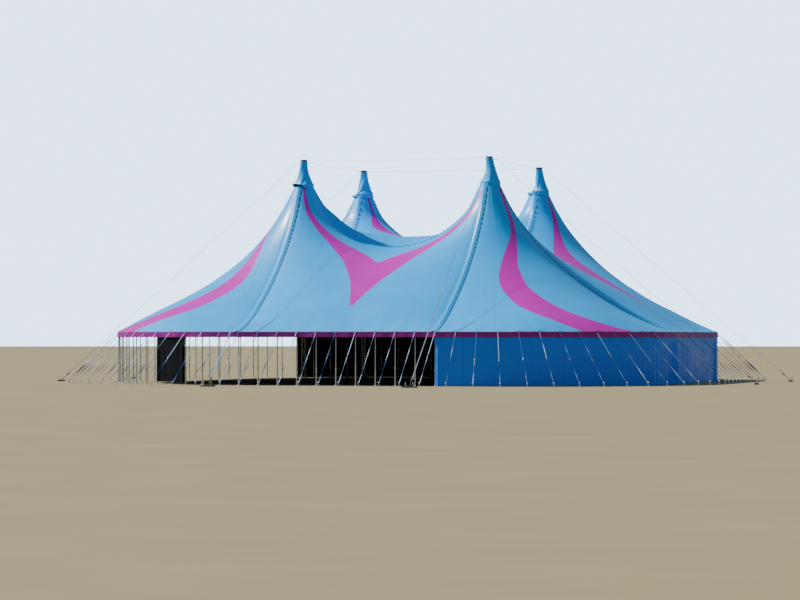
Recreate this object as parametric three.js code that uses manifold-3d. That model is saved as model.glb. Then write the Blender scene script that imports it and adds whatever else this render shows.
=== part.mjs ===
// A circus big top with four king poles, as a scale model at 1:2.
// The origin is at the middle of the tent, on the ground: X runs to the right, the open front faces -Y.

import * as THREE from "three";
import { mergeVertices } from "three/addons/utils/BufferGeometryUtils.js";
import Module from "manifold-3d";

const wasm = await Module();
wasm.setup();

// Scale: lengths below are real metres times M, which gives millimetres of the half-size model.
const M = 500;
const FIT = 0.3; // between pieces that touch
const QUARTER = Math.PI / 2;

// Plan: four quarter circles round the king poles, joined by four straight sides.
const HALF = 6.75 * M; // from the middle of the tent to a king pole, along X and along Y
const CORNER_RADIUS = 13 * M;
const SIDE_BAYS = 10; // bays between side poles along a straight side
const CORNER_BAYS = 15;
const TURN_BAYS = SIDE_BAYS + CORNER_BAYS;
const EAVE = 3.52 * M;

// Canopy cloth
const CLOTH = 12;
const EDGE_DROP = 13; // the cloth's height at its lower edge
const RING_RADIUS = 0.62 * M; // where the cloth ends at a king pole
const RING_TOP = 13.75 * M;
const RING_SLOPE = 1.9;
const CONE_REACH = 0.65 * M; // how far from the ring the cloth stays a plain cone
const DOWN_ROWS = 6; // rows of faces between the ring and the eave
const DOWN_GRADING = 1.8; // rows lie closer together near the ring
const RIDGE_COLUMNS = 8;
const RING_COLUMNS = 4; // on each quarter of a ring

// King pole
const HEAD_TOP = 15.6 * M;
const HEAD_THICK = 0.18 * M;
const HEAD_APOTHEM = 0.235 * M;
const MAST_WIDTH = 0.28 * M;
const CHORD_WIDTH = 0.05 * M;
const BATTEN_WIDTH = 0.03 * M;
const BATTEN_LEVELS = 3;
const MAST_FOOT_WIDTH = 0.9 * M;
const MAST_FOOT_THICK = 0.05 * M;
const RING_THICK = 0.06 * M;
const RING_TALL = 0.14 * M;
const RING_ARM_WIDTH = 0.08 * M;

// Hat
const HAT_CLOTH = 0.03 * M;
const HAT_SIDES = 4 * RING_COLUMNS;

// Eave, from the outside in: webbing, cloth edge over valance, wall, side pole
const VALANCE_DROP = 0.34 * M;
const VALANCE_THICK = 9;
const WALL_THICK = 8;
const WALL_INSET = 13; // the wall's outer face from the eave line
const WALL_TOP = EAVE - 0.09 * M;
const SIDE_POLE_WIDTH = 0.085 * M;
const BEND = QUARTER / CORNER_BAYS / 2; // half the turn of the eave at a pole of a round corner
const POLE_ROOM = FIT + (SIDE_POLE_WIDTH / 2) * Math.tan(BEND);
const POLE_INSET = WALL_INSET + WALL_THICK + POLE_ROOM + SIDE_POLE_WIDTH / 2;
const POLE_TOP_GAP = 0.9; // under the cloth, whose faces dip a little between their columns
const ROPE_WIDTH = 0.024 * M;
const ROPE_DROP = 0.2 * M; // the wall rope below the eave
const WEBBING_THICK = 6;
const WEBBING_TALL = 0.045 * M;
const WEBBING_DROP = 0.01 * M;

// Strap guys and main guys
const STAKE_DISTANCE = 3.4 * M; // out from the eave
const STAKE_TALL = 0.3 * M;
const STAKE_WIDTH = 0.05 * M;
const STRAP_WIDTH = 0.05 * M;
const STRAP_THICK = 5;
const STRAP_LOW = 0.24 * M; // where a strap meets its stake
const ANCHOR_DISTANCE = 18.5 * M; // out from the king pole
const CABLE_RADIUS = 0.012 * M;
const CABLE_HEIGHT = HEAD_TOP - HEAD_THICK / 2;
const SHACKLE = 0.08 * M;
const HOIST_SHARE = 0.4; // the lower part of a main guy, which is a webbing hoist
const HOIST_WIDTH = 0.08 * M;
const ANCHOR_LENGTH = 1.0 * M;
const ANCHOR_WIDTH = 0.14 * M;
const ANCHOR_TALL = 0.1 * M;
const ANCHOR_STAKES = 2;
const ANCHOR_STAKE_TALL = 0.35 * M;

const DOOR_PANEL_LIFT = 0.2 * M; // the black panel hangs clear of the ground

const paint = (color, roughness, metalness) =>
  new THREE.MeshStandardMaterial({ color, roughness, metalness });
const BLUE_CLOTH = paint(0x1c9fec, 0.45, 0);
const MAGENTA_CLOTH = paint(0xb0248f, 0.5, 0);
const WALL_CLOTH = paint(0x0a58ad, 0.55, 0);
const BLACK_CLOTH = paint(0x0c0c10, 0.7, 0);
const STEEL = paint(0x8f949a, 0.45, 0.8);
const DARK_STEEL = paint(0x2d3238, 0.5, 0.7);
const STRAP_CLOTH = paint(0x2f6fc4, 0.6, 0);

const tent = new THREE.Group();

// Adds one named piece, turned by quarter turns about the tent's middle.
function place(name, geometry, material, quarters = 0) {
  const mesh = new THREE.Mesh(geometry, material);
  mesh.name = name;
  mesh.rotation.z = quarters * QUARTER;
  tent.add(mesh);
}

// Joining

function solidFrom(geometry) {
  const bare = geometry.clone();
  bare.deleteAttribute("normal");
  bare.deleteAttribute("uv");
  const merged = mergeVertices(bare, 1e-3);
  const vertProperties = merged.attributes.position.array;
  const triVerts = new Uint32Array(merged.index.array);
  return new wasm.Manifold(new wasm.Mesh({ numProp: 3, vertProperties, triVerts }));
}

function geometryFrom(solid) {
  const made = solid.getMesh();
  const geometry = new THREE.BufferGeometry();
  geometry.setAttribute("position", new THREE.BufferAttribute(made.vertProperties, 3));
  geometry.setIndex(new THREE.BufferAttribute(made.triVerts, 1));
  return geometry;
}

const join = (geometries) =>
  geometryFrom(geometries.map(solidFrom).reduce((whole, next) => whole.add(next)));

// Plain shapes

const box = (width, depth, height, x, y, z) =>
  new THREE.BoxGeometry(width, depth, height).translate(x, y, z);

// A straight bar of a few sides from one point to another, wider one way if flat is given.
function bar(from, to, radius, sides, flat = 1) {
  const along = new THREE.Vector3().subVectors(to, from);
  const shape = new THREE.CylinderGeometry(radius, radius, along.length(), sides);
  shape.rotateY(Math.PI / sides).scale(1, 1, flat).rotateX(QUARTER);
  const side = new THREE.Vector3(along.y, -along.x, 0);
  if (side.length() < 1e-6) side.set(1, 0, 0);
  const ahead = along.normalize();
  const across = side.normalize();
  const upright = new THREE.Vector3().crossVectors(ahead, across);
  shape.applyMatrix4(new THREE.Matrix4().makeBasis(across, upright, ahead));
  return shape.translate((from.x + to.x) / 2, (from.y + to.y) / 2, (from.z + to.z) / 2);
}

// A closed solid between an upper and a lower grid of points, rows by columns.
function slab(upper, lower) {
  const rows = upper.length;
  const columns = upper[0].length;
  const points = [...upper.flat(), ...lower.flat()];
  const top = (row, column) => row * columns + column;
  const under = (row, column) => top(row, column) + rows * columns;
  const faces = [];
  const quad = (a, b, c, d) => faces.push(a, b, c, a, c, d);
  for (let row = 0; row < rows - 1; row++) {
    for (let column = 0; column < columns - 1; column++) {
      const [r, c] = [row + 1, column + 1];
      quad(top(row, column), top(r, column), top(r, c), top(row, c));
      quad(under(row, column), under(row, c), under(r, c), under(r, column));
    }
  }
  for (let row = 0; row < rows - 1; row++) {
    const last = columns - 1;
    quad(top(row, 0), under(row, 0), under(row + 1, 0), top(row + 1, 0));
    quad(top(row, last), top(row + 1, last), under(row + 1, last), under(row, last));
  }
  for (let column = 0; column < columns - 1; column++) {
    const last = rows - 1;
    quad(top(0, column), top(0, column + 1), under(0, column + 1), under(0, column));
    quad(top(last, column), under(last, column), under(last, column + 1), top(last, column + 1));
  }
  const geometry = new THREE.BufferGeometry();
  const numbers = points.flatMap((point) => [point.x, point.y, point.z]);
  geometry.setAttribute("position", new THREE.Float32BufferAttribute(numbers, 3));
  geometry.setIndex(faces);
  return geometry;
}

// The canopy's height over a point of the plan: a taut sheet hung from four rings, dipping between them.
const SOFTNESS = 1.1;
const RING_SHIFT = 0.16; // how far the cloth's peaks lean out from the king poles
const BOWL = 1.1;
const STAR = 0.7;
const LEVEL = 11.191;
const FOUR_FOLD = -0.849;
const EIGHT_FOLD = 0.0334;
const SWELL_AT_RING = 2.492;
const RISE = 9.88 * M;
const TAPER = 0.119;
const RIDGE_DIP = 0.585 * M;
const DIP_WIDTH = 2.5 * M;
const FULLNESS = 0.9 * M; // how far the middle of a straight side stands out beyond a plain taut sheet
const FULL_ABOVE = 2.5; // the greater, the lower on the slope it starts
const FULL_BELOW = 1.2; // the greater, the sooner it ends above the eave

const CORNER_SIGNS = [[-1, -1], [1, -1], [1, 1], [-1, 1]];

function swell(x, y) {
  const reach = Math.hypot(x, y) / (HALF + CORNER_RADIUS);
  const angle = Math.atan2(y, x);
  const fourfold = reach ** 4 * Math.cos(4 * angle);
  const eightfold = reach ** 8 * Math.cos(8 * angle);
  let sum = LEVEL + (BOWL + STAR * fourfold) * reach ** 2;
  sum += FOUR_FOLD * fourfold + EIGHT_FOLD * eightfold;
  const peak = HALF + RING_SHIFT * M;
  for (const [signX, signY] of CORNER_SIGNS) {
    sum -= Math.log(Math.hypot(x - signX * peak, y - signY * peak) / M + SOFTNESS);
  }
  return sum / SWELL_AT_RING;
}

function ridgeDip(x, y) {
  const span = (v) => Math.max(0, 1 - (v / HALF) ** 2) ** 2;
  const near = (v) => Math.exp(-(((Math.abs(v) - HALF) / DIP_WIDTH) ** 2));
  return RIDGE_DIP * (span(x) * near(y) + span(y) * near(x));
}

// The straight sides are cut full: each stands out between its two seams, most of all low on its slope.
function sideFullness(x, y) {
  const far = Math.max(Math.abs(x), Math.abs(y));
  const aside = Math.min(Math.abs(x), Math.abs(y));
  const share = Math.min(Math.max((far - HALF) / CORNER_RADIUS, 0), 1);
  const bulge = (v) => v ** FULL_ABOVE * (1 - v) ** FULL_BELOW;
  const fullest = FULL_ABOVE / (FULL_ABOVE + FULL_BELOW);
  const across = Math.max(0, 1 - (aside / HALF) ** 3);
  return (FULLNESS * across * bulge(share)) / bulge(fullest);
}

function clothHeight(x, y) {
  const share = swell(x, y);
  const curved = EAVE + RISE * ((1 + TAPER) * share - TAPER * share ** 2);
  const taut = curved - ridgeDip(x, y) + sideFullness(x, y);
  const out = Math.hypot(Math.abs(x) - HALF, Math.abs(y) - HALF) - RING_RADIUS;
  const cone = RING_TOP - RING_SLOPE * out;
  const weight = Math.exp(-((out / CONE_REACH) ** 2));
  return taut + (cone - taut) * weight;
}

function clothSlope(x, y) {
  const step = 0.02 * M;
  const alongX = (clothHeight(x + step, y) - clothHeight(x - step, y)) / (2 * step);
  const alongY = (clothHeight(x, y + step) - clothHeight(x, y - step)) / (2 * step);
  return Math.hypot(alongX, alongY);
}

// One canopy panel from plan points, rows by columns; its last row lies level at the eave where it has one.
// Its seams with other panels are drawn back by half a gap, through the given shift of each point.
function canopyPanel(plan, shift, meetsEave) {
  const eaveRow = plan[plan.length - 1];
  const upper = plan.map((row, down) =>
    row.map(({ x, y }, across) => {
      const eaveMiss = EAVE - clothHeight(eaveRow[across].x, eaveRow[across].y);
      const share = down / (plan.length - 1);
      const level = meetsEave ? eaveMiss * share ** 6 : 0;
      const [shiftX, shiftY] = shift(down, across);
      return { x: x + shiftX, y: y + shiftY, z: clothHeight(x, y) + level };
    }),
  );
  const lower = upper.map((row, down) =>
    row.map(({ x, y, z }, across) => {
      const atEave = meetsEave && down === plan.length - 1;
      const { x: planX, y: planY } = plan[down][across];
      const drop = atEave ? EDGE_DROP : CLOTH * Math.hypot(1, clothSlope(planX, planY));
      return { x, y, z: z - drop };
    }),
  );
  return slab(upper, lower);
}

const downShares = Array.from(
  { length: DOWN_ROWS + 1 },
  (unused, row) => (row / DOWN_ROWS) ** DOWN_GRADING,
);

// Where columns cross a ridge: round the ring of one king pole, along the ridge, and round the next ring.
function ridgeColumns() {
  const columns = [];
  for (let step = 0; step < RING_COLUMNS; step++) {
    const angle = (step / RING_COLUMNS) * QUARTER;
    columns.push({ x: -HALF + RING_RADIUS * Math.sin(angle), out: RING_RADIUS * Math.cos(angle) });
  }
  for (let step = 0; step <= RIDGE_COLUMNS; step++) {
    columns.push({ x: -(HALF - RING_RADIUS) * Math.cos((step / RIDGE_COLUMNS) * Math.PI), out: 0 });
  }
  const mirrored = columns.slice(0, RING_COLUMNS).reverse();
  return [...columns, ...mirrored.map(({ x, out }) => ({ x: -x, out }))];
}

const seam = FIT / 1.5; // how far a seam is drawn back from its line

function sidePanel() {
  const columns = ridgeColumns();
  const last = columns.length - 1;
  const plan = downShares.map((share) =>
    columns.map(({ x, out }) => ({ x, y: -HALF - out - (CORNER_RADIUS - out) * share })),
  );
  const shift = (down, across) => [
    across === 0 ? seam : across === last ? -seam : 0,
    down === 0 && columns[across].out === 0 ? -seam : 0,
  ];
  return canopyPanel(plan, shift, true);
}

function cornerPanel() {
  const angles = Array.from({ length: CORNER_BAYS + 1 }, (unused, bay) => (bay / CORNER_BAYS) * QUARTER);
  const plan = downShares.map((share) =>
    angles.map((angle) => {
      const radius = RING_RADIUS + (CORNER_RADIUS - RING_RADIUS) * share;
      return { x: HALF + radius * Math.sin(angle), y: -HALF - radius * Math.cos(angle) };
    }),
  );
  const shift = (down, across) => [
    across === 0 ? seam : 0,
    across === CORNER_BAYS ? -seam : 0,
  ];
  return canopyPanel(plan, shift, true);
}

function centrePanel() {
  const columns = ridgeColumns();
  const last = columns.length - 1;
  const plan = Array.from({ length: RIDGE_COLUMNS + 1 }, (unused, row) => {
    const share = Math.cos((row / RIDGE_COLUMNS) * Math.PI);
    return columns.map(({ x, out }) => ({ x, y: (HALF - out) * share }));
  });
  const shift = (down, across) => [
    across === 0 ? seam : across === last ? -seam : 0,
    columns[across].out > 0 ? 0 : down === 0 ? -seam : down === RIDGE_COLUMNS ? seam : 0,
  ];
  return canopyPanel(plan, shift, false);
}

const SIDES = ["front", "right", "back", "left"];
const CORNERS = ["front_right", "back_right", "back_left", "front_left"];

place("canopy_centre", centrePanel(), BLUE_CLOTH);
SIDES.forEach((side, quarters) => place(`canopy_${side}`, sidePanel(), BLUE_CLOTH, quarters));
CORNERS.forEach((corner, quarters) => place(`canopy_${corner}`, cornerPanel(), BLUE_CLOTH, quarters));

// King poles: a square lattice mast with its head plate, and the ring that carries the canopy.

function ringAndArms() {
  const outer = RING_RADIUS * Math.cos(BEND) - FIT; // inside the cloth's flat faces
  const inner = outer - RING_THICK;
  const low = RING_TOP - RING_TALL - EDGE_DROP;
  const high = RING_TOP - EDGE_DROP;
  const profile = [[inner, low], [outer, low], [outer, high], [inner, high], [inner, low]];
  const outline = profile.map(([radius, height]) => new THREE.Vector2(radius, height));
  const ring = new THREE.LatheGeometry(outline, 4 * RING_COLUMNS).rotateX(QUARTER);
  const armLength = 2 * inner + RING_THICK;
  const level = (low + high) / 2;
  const arms = [
    box(armLength, RING_ARM_WIDTH, RING_ARM_WIDTH, 0, 0, level),
    box(RING_ARM_WIDTH, armLength, RING_ARM_WIDTH, 0, 0, level),
  ];
  const carriage = box(MAST_WIDTH, MAST_WIDTH, RING_ARM_WIDTH, 0, 0, level);
  return [ring, ...arms, carriage];
}

function headPlate() {
  const sides = 8;
  const radius = HEAD_APOTHEM / Math.cos(Math.PI / sides);
  const plate = new THREE.CylinderGeometry(radius, radius, HEAD_THICK, sides);
  return plate.rotateX(QUARTER).rotateZ(Math.PI / sides).translate(0, 0, HEAD_TOP - HEAD_THICK / 2);
}

function kingPole() {
  const chordAt = (MAST_WIDTH - CHORD_WIDTH) / 2;
  const top = HEAD_TOP - HEAD_THICK / 2;
  const bottom = MAST_FOOT_THICK / 2;
  const tall = top - bottom;
  const pieces = [headPlate(), ...ringAndArms()];
  pieces.push(box(MAST_FOOT_WIDTH, MAST_FOOT_WIDTH, MAST_FOOT_THICK, 0, 0, MAST_FOOT_THICK / 2));
  for (const [signX, signY] of CORNER_SIGNS) {
    const [x, y] = [signX * chordAt, signY * chordAt];
    pieces.push(box(CHORD_WIDTH, CHORD_WIDTH, tall, x, y, bottom + tall / 2));
  }
  for (let level = 1; level <= BATTEN_LEVELS; level++) {
    const height = bottom + (tall * level) / (BATTEN_LEVELS + 1);
    for (const sign of [-1, 1]) {
      pieces.push(box(2 * chordAt, BATTEN_WIDTH, BATTEN_WIDTH, 0, sign * chordAt, height));
      pieces.push(box(BATTEN_WIDTH, 2 * chordAt, BATTEN_WIDTH, sign * chordAt, 0, height));
    }
  }
  return join(pieces).translate(HALF, -HALF, 0);
}

// Hats: a cloth sleeve that flares from the head plate to a gathered hem over the ring.

const HAT_OUTSIDE = [
  [0.72 * M, 13.86 * M],
  [0.49 * M, 14.27 * M],
  [0.32 * M, 14.9 * M],
  [0.258 * M, HEAD_TOP - HEAD_THICK - FIT],
];
const HAT_INSIDE = [
  [0.228 * M, HEAD_TOP - HEAD_THICK - FIT],
  [0.46 * M, 14.27 * M],
  [0.69 * M, 13.86 * M],
];

// How fast the first faces beside a ring fall: outwards over a corner, along a seam, a ridge and inwards.
const firstRow = (CORNER_RADIUS - RING_RADIUS) * downShares[1];
const firstColumn = (HALF - RING_RADIUS) * (1 - Math.cos(Math.PI / RIDGE_COLUMNS));
const hemDirections = [[firstRow, 0.5], [firstRow, 0], [firstColumn, 2], [firstColumn, 2.5]];

function fallBesideRing([out, quarters]) {
  const radius = RING_RADIUS + out;
  const angle = quarters * QUARTER;
  return (RING_TOP - clothHeight(HALF + radius * Math.cos(angle), HALF + radius * Math.sin(angle))) / out;
}

function hat() {
  const outerHem = HAT_OUTSIDE[0][0];
  const innerHem = outerHem - HAT_CLOTH;
  const slope = Math.min(...hemDirections.map(fallBesideRing));
  // A flat side of the hem comes nearer the pole than its corners, where the cone below is higher.
  const flatness = outerHem * (1 - Math.cos(Math.PI / HAT_SIDES)) * RING_SLOPE + FIT;
  const restOn = (radius) => RING_TOP - slope * (radius - RING_RADIUS) + flatness;
  const bottom = [innerHem, restOn(innerHem)];
  const outline = [bottom, [outerHem, restOn(outerHem)], ...HAT_OUTSIDE, ...HAT_INSIDE, bottom];
  const profile = outline.map(([radius, height]) => new THREE.Vector2(radius, height));
  return new THREE.LatheGeometry(profile, HAT_SIDES).rotateX(QUARTER).translate(HALF, -HALF, 0);
}

CORNERS.forEach((corner, quarters) => place(`king_pole_${corner}`, kingPole(), DARK_STEEL, quarters));
CORNERS.forEach((corner, quarters) => place(`hat_${corner}`, hat(), BLUE_CLOTH, quarters));

// The eave, counted in side poles from the left end of the front, to the right and round.

// A point that lies the given distance inside the eave line, and the way out from the tent there.
function eavePole(number, inset) {
  const quarters = Math.floor(number / TURN_BAYS);
  const bay = number - quarters * TURN_BAYS;
  const angle = (Math.max(0, bay - SIDE_BAYS) / CORNER_BAYS) * QUARTER;
  const along = -HALF + (2 * HALF * Math.min(bay, SIDE_BAYS)) / SIDE_BAYS;
  const radius = CORNER_RADIUS - inset;
  const point = new THREE.Vector2(along + radius * Math.sin(angle), -HALF - radius * Math.cos(angle));
  const outward = new THREE.Vector2(Math.sin(angle), -Math.cos(angle));
  const middle = new THREE.Vector2();
  point.rotateAround(middle, quarters * QUARTER);
  outward.rotateAround(middle, quarters * QUARTER);
  return { point, outward };
}

// The same for a place between two side poles, on the straight line from one to the other.
function eavePoint(number, inset) {
  const before = Math.floor(number);
  const start = eavePole(before, inset).point;
  return start.lerp(eavePole(before + 1, inset).point, number - before);
}

// A band that follows the eave from one place to another, between two insets and two heights.
function band(first, last, outer, inner, low, high) {
  const stations = [first];
  for (let number = Math.floor(first) + 1; number < last; number++) stations.push(number);
  stations.push(last);
  const straight = (number) => {
    const bay = ((number % TURN_BAYS) + TURN_BAYS) % TURN_BAYS;
    return bay > 0 && bay < SIDE_BAYS;
  };
  const kept = stations.filter((number) => number === first || number === last || !straight(number));
  const along = (inset) => kept.map((number) => eavePoint(number, inset));
  const at = (points, height) => points.map(({ x, y }) => ({ x, y, z: height }));
  const [out, back] = [along(outer), along(inner)];
  return slab([at(back, high), at(out, high)], [at(back, low), at(out, low)]);
}

const apart = 0.3 / M; // in bays, about 0.4 mm: half the space between two bands end to end

// Valances: each hangs from the cloth's edge, along one side and half of the corners beside it.
const halfCorner = CORNER_BAYS / 2;
SIDES.forEach((side, quarters) => {
  const first = quarters * TURN_BAYS - halfCorner + apart;
  const last = quarters * TURN_BAYS + SIDE_BAYS + halfCorner - apart;
  const high = EAVE - EDGE_DROP - FIT;
  place(`valance_${side}`, band(first, last, 0, VALANCE_THICK, EAVE - VALANCE_DROP, high), MAGENTA_CLOTH);
});

// Side poles, joined by the rope that the walls hang on, and strap guys, joined by the eave's webbing.

// The canopy's underside over a side pole, on the faces between its last two rows.
function underEave(number, inset) {
  const share = downShares[DOWN_ROWS - 1];
  const bay = number % TURN_BAYS;
  const length = bay > 0 && bay < SIDE_BAYS ? CORNER_RADIUS : CORNER_RADIUS - RING_RADIUS;
  const rowInset = length * (1 - share);
  const { x, y } = eavePole(number, rowInset).point;
  const edge = eavePole(number, 0).point;
  const height = clothHeight(x, y) + (EAVE - clothHeight(edge.x, edge.y)) * share ** 6;
  const rowHeight = height - CLOTH * Math.hypot(1, clothSlope(x, y));
  const edgeHeight = EAVE - EDGE_DROP;
  return edgeHeight + ((rowHeight - edgeHeight) * inset) / rowInset;
}

function sidePoles(first, last) {
  const level = EAVE - ROPE_DROP;
  const half = ROPE_WIDTH / 2;
  const ends = [first - 0.5 + apart, last + 0.5 - apart];
  const pieces = [band(...ends, POLE_INSET - half, POLE_INSET + half, level - half, level + half)];
  for (let number = first; number <= last; number++) {
    const { point, outward } = eavePole(number, POLE_INSET);
    const top = underEave(number, POLE_INSET - SIDE_POLE_WIDTH / 2) - POLE_TOP_GAP;
    const pole = box(SIDE_POLE_WIDTH, SIDE_POLE_WIDTH, top, 0, 0, top / 2);
    pieces.push(pole.rotateZ(Math.atan2(outward.y, outward.x)).translate(point.x, point.y, 0));
  }
  return join(pieces);
}

// A strap from the eave's webbing down to its stake, as one outline seen along the eave.
function strapAndStake(number, head) {
  const inside = STAKE_DISTANCE - STAKE_WIDTH / 2;
  const outside = STAKE_DISTANCE + STAKE_WIDTH / 2;
  const outline = [
    [FIT + 1, head],
    [FIT + 1, head - STRAP_THICK],
    [inside, STRAP_LOW - STRAP_THICK],
    [inside, 0],
    [outside, 0],
    [outside, STAKE_TALL],
  ];
  const shape = new THREE.Shape(outline.map(([out, height]) => new THREE.Vector2(out, height)));
  const geometry = new THREE.ExtrudeGeometry(shape, { depth: STRAP_WIDTH, bevelEnabled: false });
  geometry.translate(0, 0, -STRAP_WIDTH / 2).rotateX(QUARTER);
  const { point, outward } = eavePole(number, 0);
  return geometry.rotateZ(Math.atan2(outward.y, outward.x)).translate(point.x, point.y, 0);
}

function strapGuys(first, last) {
  const high = EAVE - WEBBING_DROP;
  const low = high - WEBBING_TALL;
  const ends = [first - 0.5 + apart, last + 0.5 - apart];
  const pieces = [band(...ends, -FIT - WEBBING_THICK, -FIT, low, high)];
  for (let number = first; number <= last; number++) {
    pieces.push(strapAndStake(number, (low + high) / 2));
  }
  return join(pieces);
}

SIDES.forEach((side, quarters) => {
  const first = quarters * TURN_BAYS;
  place(`side_poles_${side}`, sidePoles(first, first + SIDE_BAYS), STEEL);
  place(`strap_guys_${side}`, strapGuys(first, first + SIDE_BAYS), STRAP_CLOTH);
});
CORNERS.forEach((corner, quarters) => {
  const first = quarters * TURN_BAYS + SIDE_BAYS + 1;
  place(`side_poles_${corner}`, sidePoles(first, first + CORNER_BAYS - 2), STEEL);
  place(`strap_guys_${corner}`, strapGuys(first, first + CORNER_BAYS - 2), STRAP_CLOTH);
});

// Main guys: two from each king pole's head, straight out over the eave to a ground anchor.

function mainGuy() {
  const start = new THREE.Vector3(HEAD_APOTHEM + FIT + SHACKLE / 2, 0, CABLE_HEIGHT);
  const end = new THREE.Vector3(ANCHOR_DISTANCE, 0, ANCHOR_TALL / 2);
  const hoist = new THREE.Vector3().lerpVectors(end, start, HOIST_SHARE);
  const pieces = [
    box(SHACKLE, SHACKLE, SHACKLE, start.x, 0, start.z),
    box(SHACKLE, SHACKLE, SHACKLE, hoist.x, 0, hoist.z),
    bar(start, hoist, CABLE_RADIUS, 6),
    bar(hoist, end, HOIST_WIDTH / Math.SQRT2, 4, STRAP_THICK / HOIST_WIDTH),
    box(ANCHOR_WIDTH, ANCHOR_LENGTH, ANCHOR_TALL, ANCHOR_DISTANCE, 0, ANCHOR_TALL / 2),
  ];
  for (let number = 0; number < ANCHOR_STAKES; number++) {
    const out = ANCHOR_DISTANCE + STAKE_WIDTH;
    const across = ((number + 0.5) / ANCHOR_STAKES - 0.5) * ANCHOR_LENGTH;
    const tall = ANCHOR_STAKE_TALL;
    pieces.push(box(STAKE_WIDTH, STAKE_WIDTH, tall, out, across, tall / 2));
  }
  return join(pieces);
}

// Cables between the heads of neighbouring king poles.
function headCable() {
  const reach = HALF - HEAD_APOTHEM - FIT;
  const from = new THREE.Vector3(-reach + SHACKLE / 2, 0, CABLE_HEIGHT);
  const to = new THREE.Vector3(reach - SHACKLE / 2, 0, CABLE_HEIGHT);
  const ends = [from, to].map(({ x }) => box(SHACKLE, SHACKLE, SHACKLE, x, 0, CABLE_HEIGHT));
  return join([bar(from, to, CABLE_RADIUS, 6), ...ends]).translate(0, -HALF, 0);
}

CORNERS.forEach((corner, quarters) => {
  const [near, far] = corner.split("_");
  const right = mainGuy().translate(HALF, -HALF, 0);
  const ahead = mainGuy().rotateZ(-QUARTER).translate(HALF, -HALF, 0);
  const names = quarters % 2 ? [near, far] : [far, near];
  place(`main_guy_${corner}_to_${names[0]}`, right, STEEL, quarters);
  place(`main_guy_${corner}_to_${names[1]}`, ahead, STEEL, quarters);
});
SIDES.forEach((side, quarters) => place(`head_cable_${side}`, headCable(), STEEL, quarters));

// Walls, from one side pole to another; the front and most of the left stand open.

function wall(first, last, base) {
  const inner = WALL_INSET + WALL_THICK;
  return band(first + apart, last - apart, WALL_INSET, inner, base, WALL_TOP);
}

const [RIGHT, BACK] = [TURN_BAYS, 2 * TURN_BAYS];
const BACK_OPENING = 67;
const DOOR_PANEL = [95, 97];
place("wall_front_right", wall(SIDE_BAYS, RIGHT, 0), WALL_CLOTH);
place("wall_right", wall(RIGHT, RIGHT + SIDE_BAYS, 0), WALL_CLOTH);
place("wall_back_right", wall(RIGHT + SIDE_BAYS, BACK, 0), WALL_CLOTH);
place("wall_back", wall(BACK, BACK + SIDE_BAYS, 0), WALL_CLOTH);
place("wall_back_left", wall(BACK + SIDE_BAYS, BACK_OPENING, 0), WALL_CLOTH);
place("wall_front_left", wall(...DOOR_PANEL, DOOR_PANEL_LIFT), BLACK_CLOTH);

export default tent;
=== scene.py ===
# %% [markdown]
# # A circus big top in cloth, rope and steel
# The tent is a 1:2 scale model of a four-pole big top. Its solids come ready made from the frame, at their
# real place, and this file gives them their looks: glossy coated cloth with magenta bands, laced seams,
# lattice masts, webbing guys and hanging walls. A scene could also start empty, but then every size would
# have to be guessed twice, so the frame is loaded first and everything is fitted to it.

import math

import bpy
import numpy as np
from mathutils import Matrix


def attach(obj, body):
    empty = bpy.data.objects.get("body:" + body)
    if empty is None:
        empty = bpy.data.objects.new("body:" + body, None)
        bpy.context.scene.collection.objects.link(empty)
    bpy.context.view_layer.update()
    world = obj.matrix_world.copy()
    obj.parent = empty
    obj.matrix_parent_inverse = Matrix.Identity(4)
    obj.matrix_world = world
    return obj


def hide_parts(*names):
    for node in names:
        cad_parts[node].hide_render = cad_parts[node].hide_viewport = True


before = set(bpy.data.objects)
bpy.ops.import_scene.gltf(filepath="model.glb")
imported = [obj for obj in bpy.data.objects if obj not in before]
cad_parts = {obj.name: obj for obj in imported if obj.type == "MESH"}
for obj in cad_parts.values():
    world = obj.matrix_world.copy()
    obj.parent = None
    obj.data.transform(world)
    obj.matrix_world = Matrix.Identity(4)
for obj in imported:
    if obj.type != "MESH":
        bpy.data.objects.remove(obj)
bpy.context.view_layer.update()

# %% [markdown]
# ## Driving sizes
# Tent makers speak in whole metres of the real tent, so the sizes below are real metres times the scale. The
# bay count runs along the eave: ten bays to a straight side and fifteen round each corner.

# %% Driving sizes
SCALE = 0.5
HALF = 6.75 * SCALE
CORNER_RADIUS = 13.0 * SCALE
EAVE = 3.52 * SCALE
SIDE_BAYS, CORNER_BAYS = 10, 15
TURN_BAYS = SIDE_BAYS + CORNER_BAYS
RING_RADIUS = 0.62 * SCALE
RING_TOP = 13.75 * SCALE
HEAD_TOP = 15.6 * SCALE
HEAD_THICK = 0.18 * SCALE
SIDES = ["front", "right", "back", "left"]
CORNERS = ["front_right", "back_right", "back_left", "front_left"]
print("roof is", 2 * (HALF + CORNER_RADIUS), "m across")

# %% [markdown]
# ## Camera
# The photograph was taken from far away with a long lens, nearly level, from a little to the right of the
# open front. A near camera would make the front corner loom, so the distance matters as much as the lens.

# %% Camera
CAMERA_TURN = 17.45  # degrees
camera = bpy.data.objects.new("camera", bpy.data.cameras.new("camera"))
bpy.context.scene.collection.objects.link(camera)
camera.location = (59.75 * SCALE, -195.83 * SCALE, 3.164 * SCALE)
camera.rotation_euler = (math.radians(90.745), 0.0, math.radians(CAMERA_TURN))
camera.data.lens = 128.6
camera.data.clip_end = 1000.0
bpy.context.scene.camera = camera
print("camera is", round(camera.location.length, 1), "m from the tent's middle")

# %% [markdown]
# ## Light and floor
# The sun stands to the left and a little behind the tent, so the left slopes shine and the right ones fall
# into shade. A weak blue sky fills the shadows, since one lamp alone would leave them black. The camera
# sees a paler sky than the one that lights the cloth. The floor is dry grass in one flat colour and isn't
# part of the tent.

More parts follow.
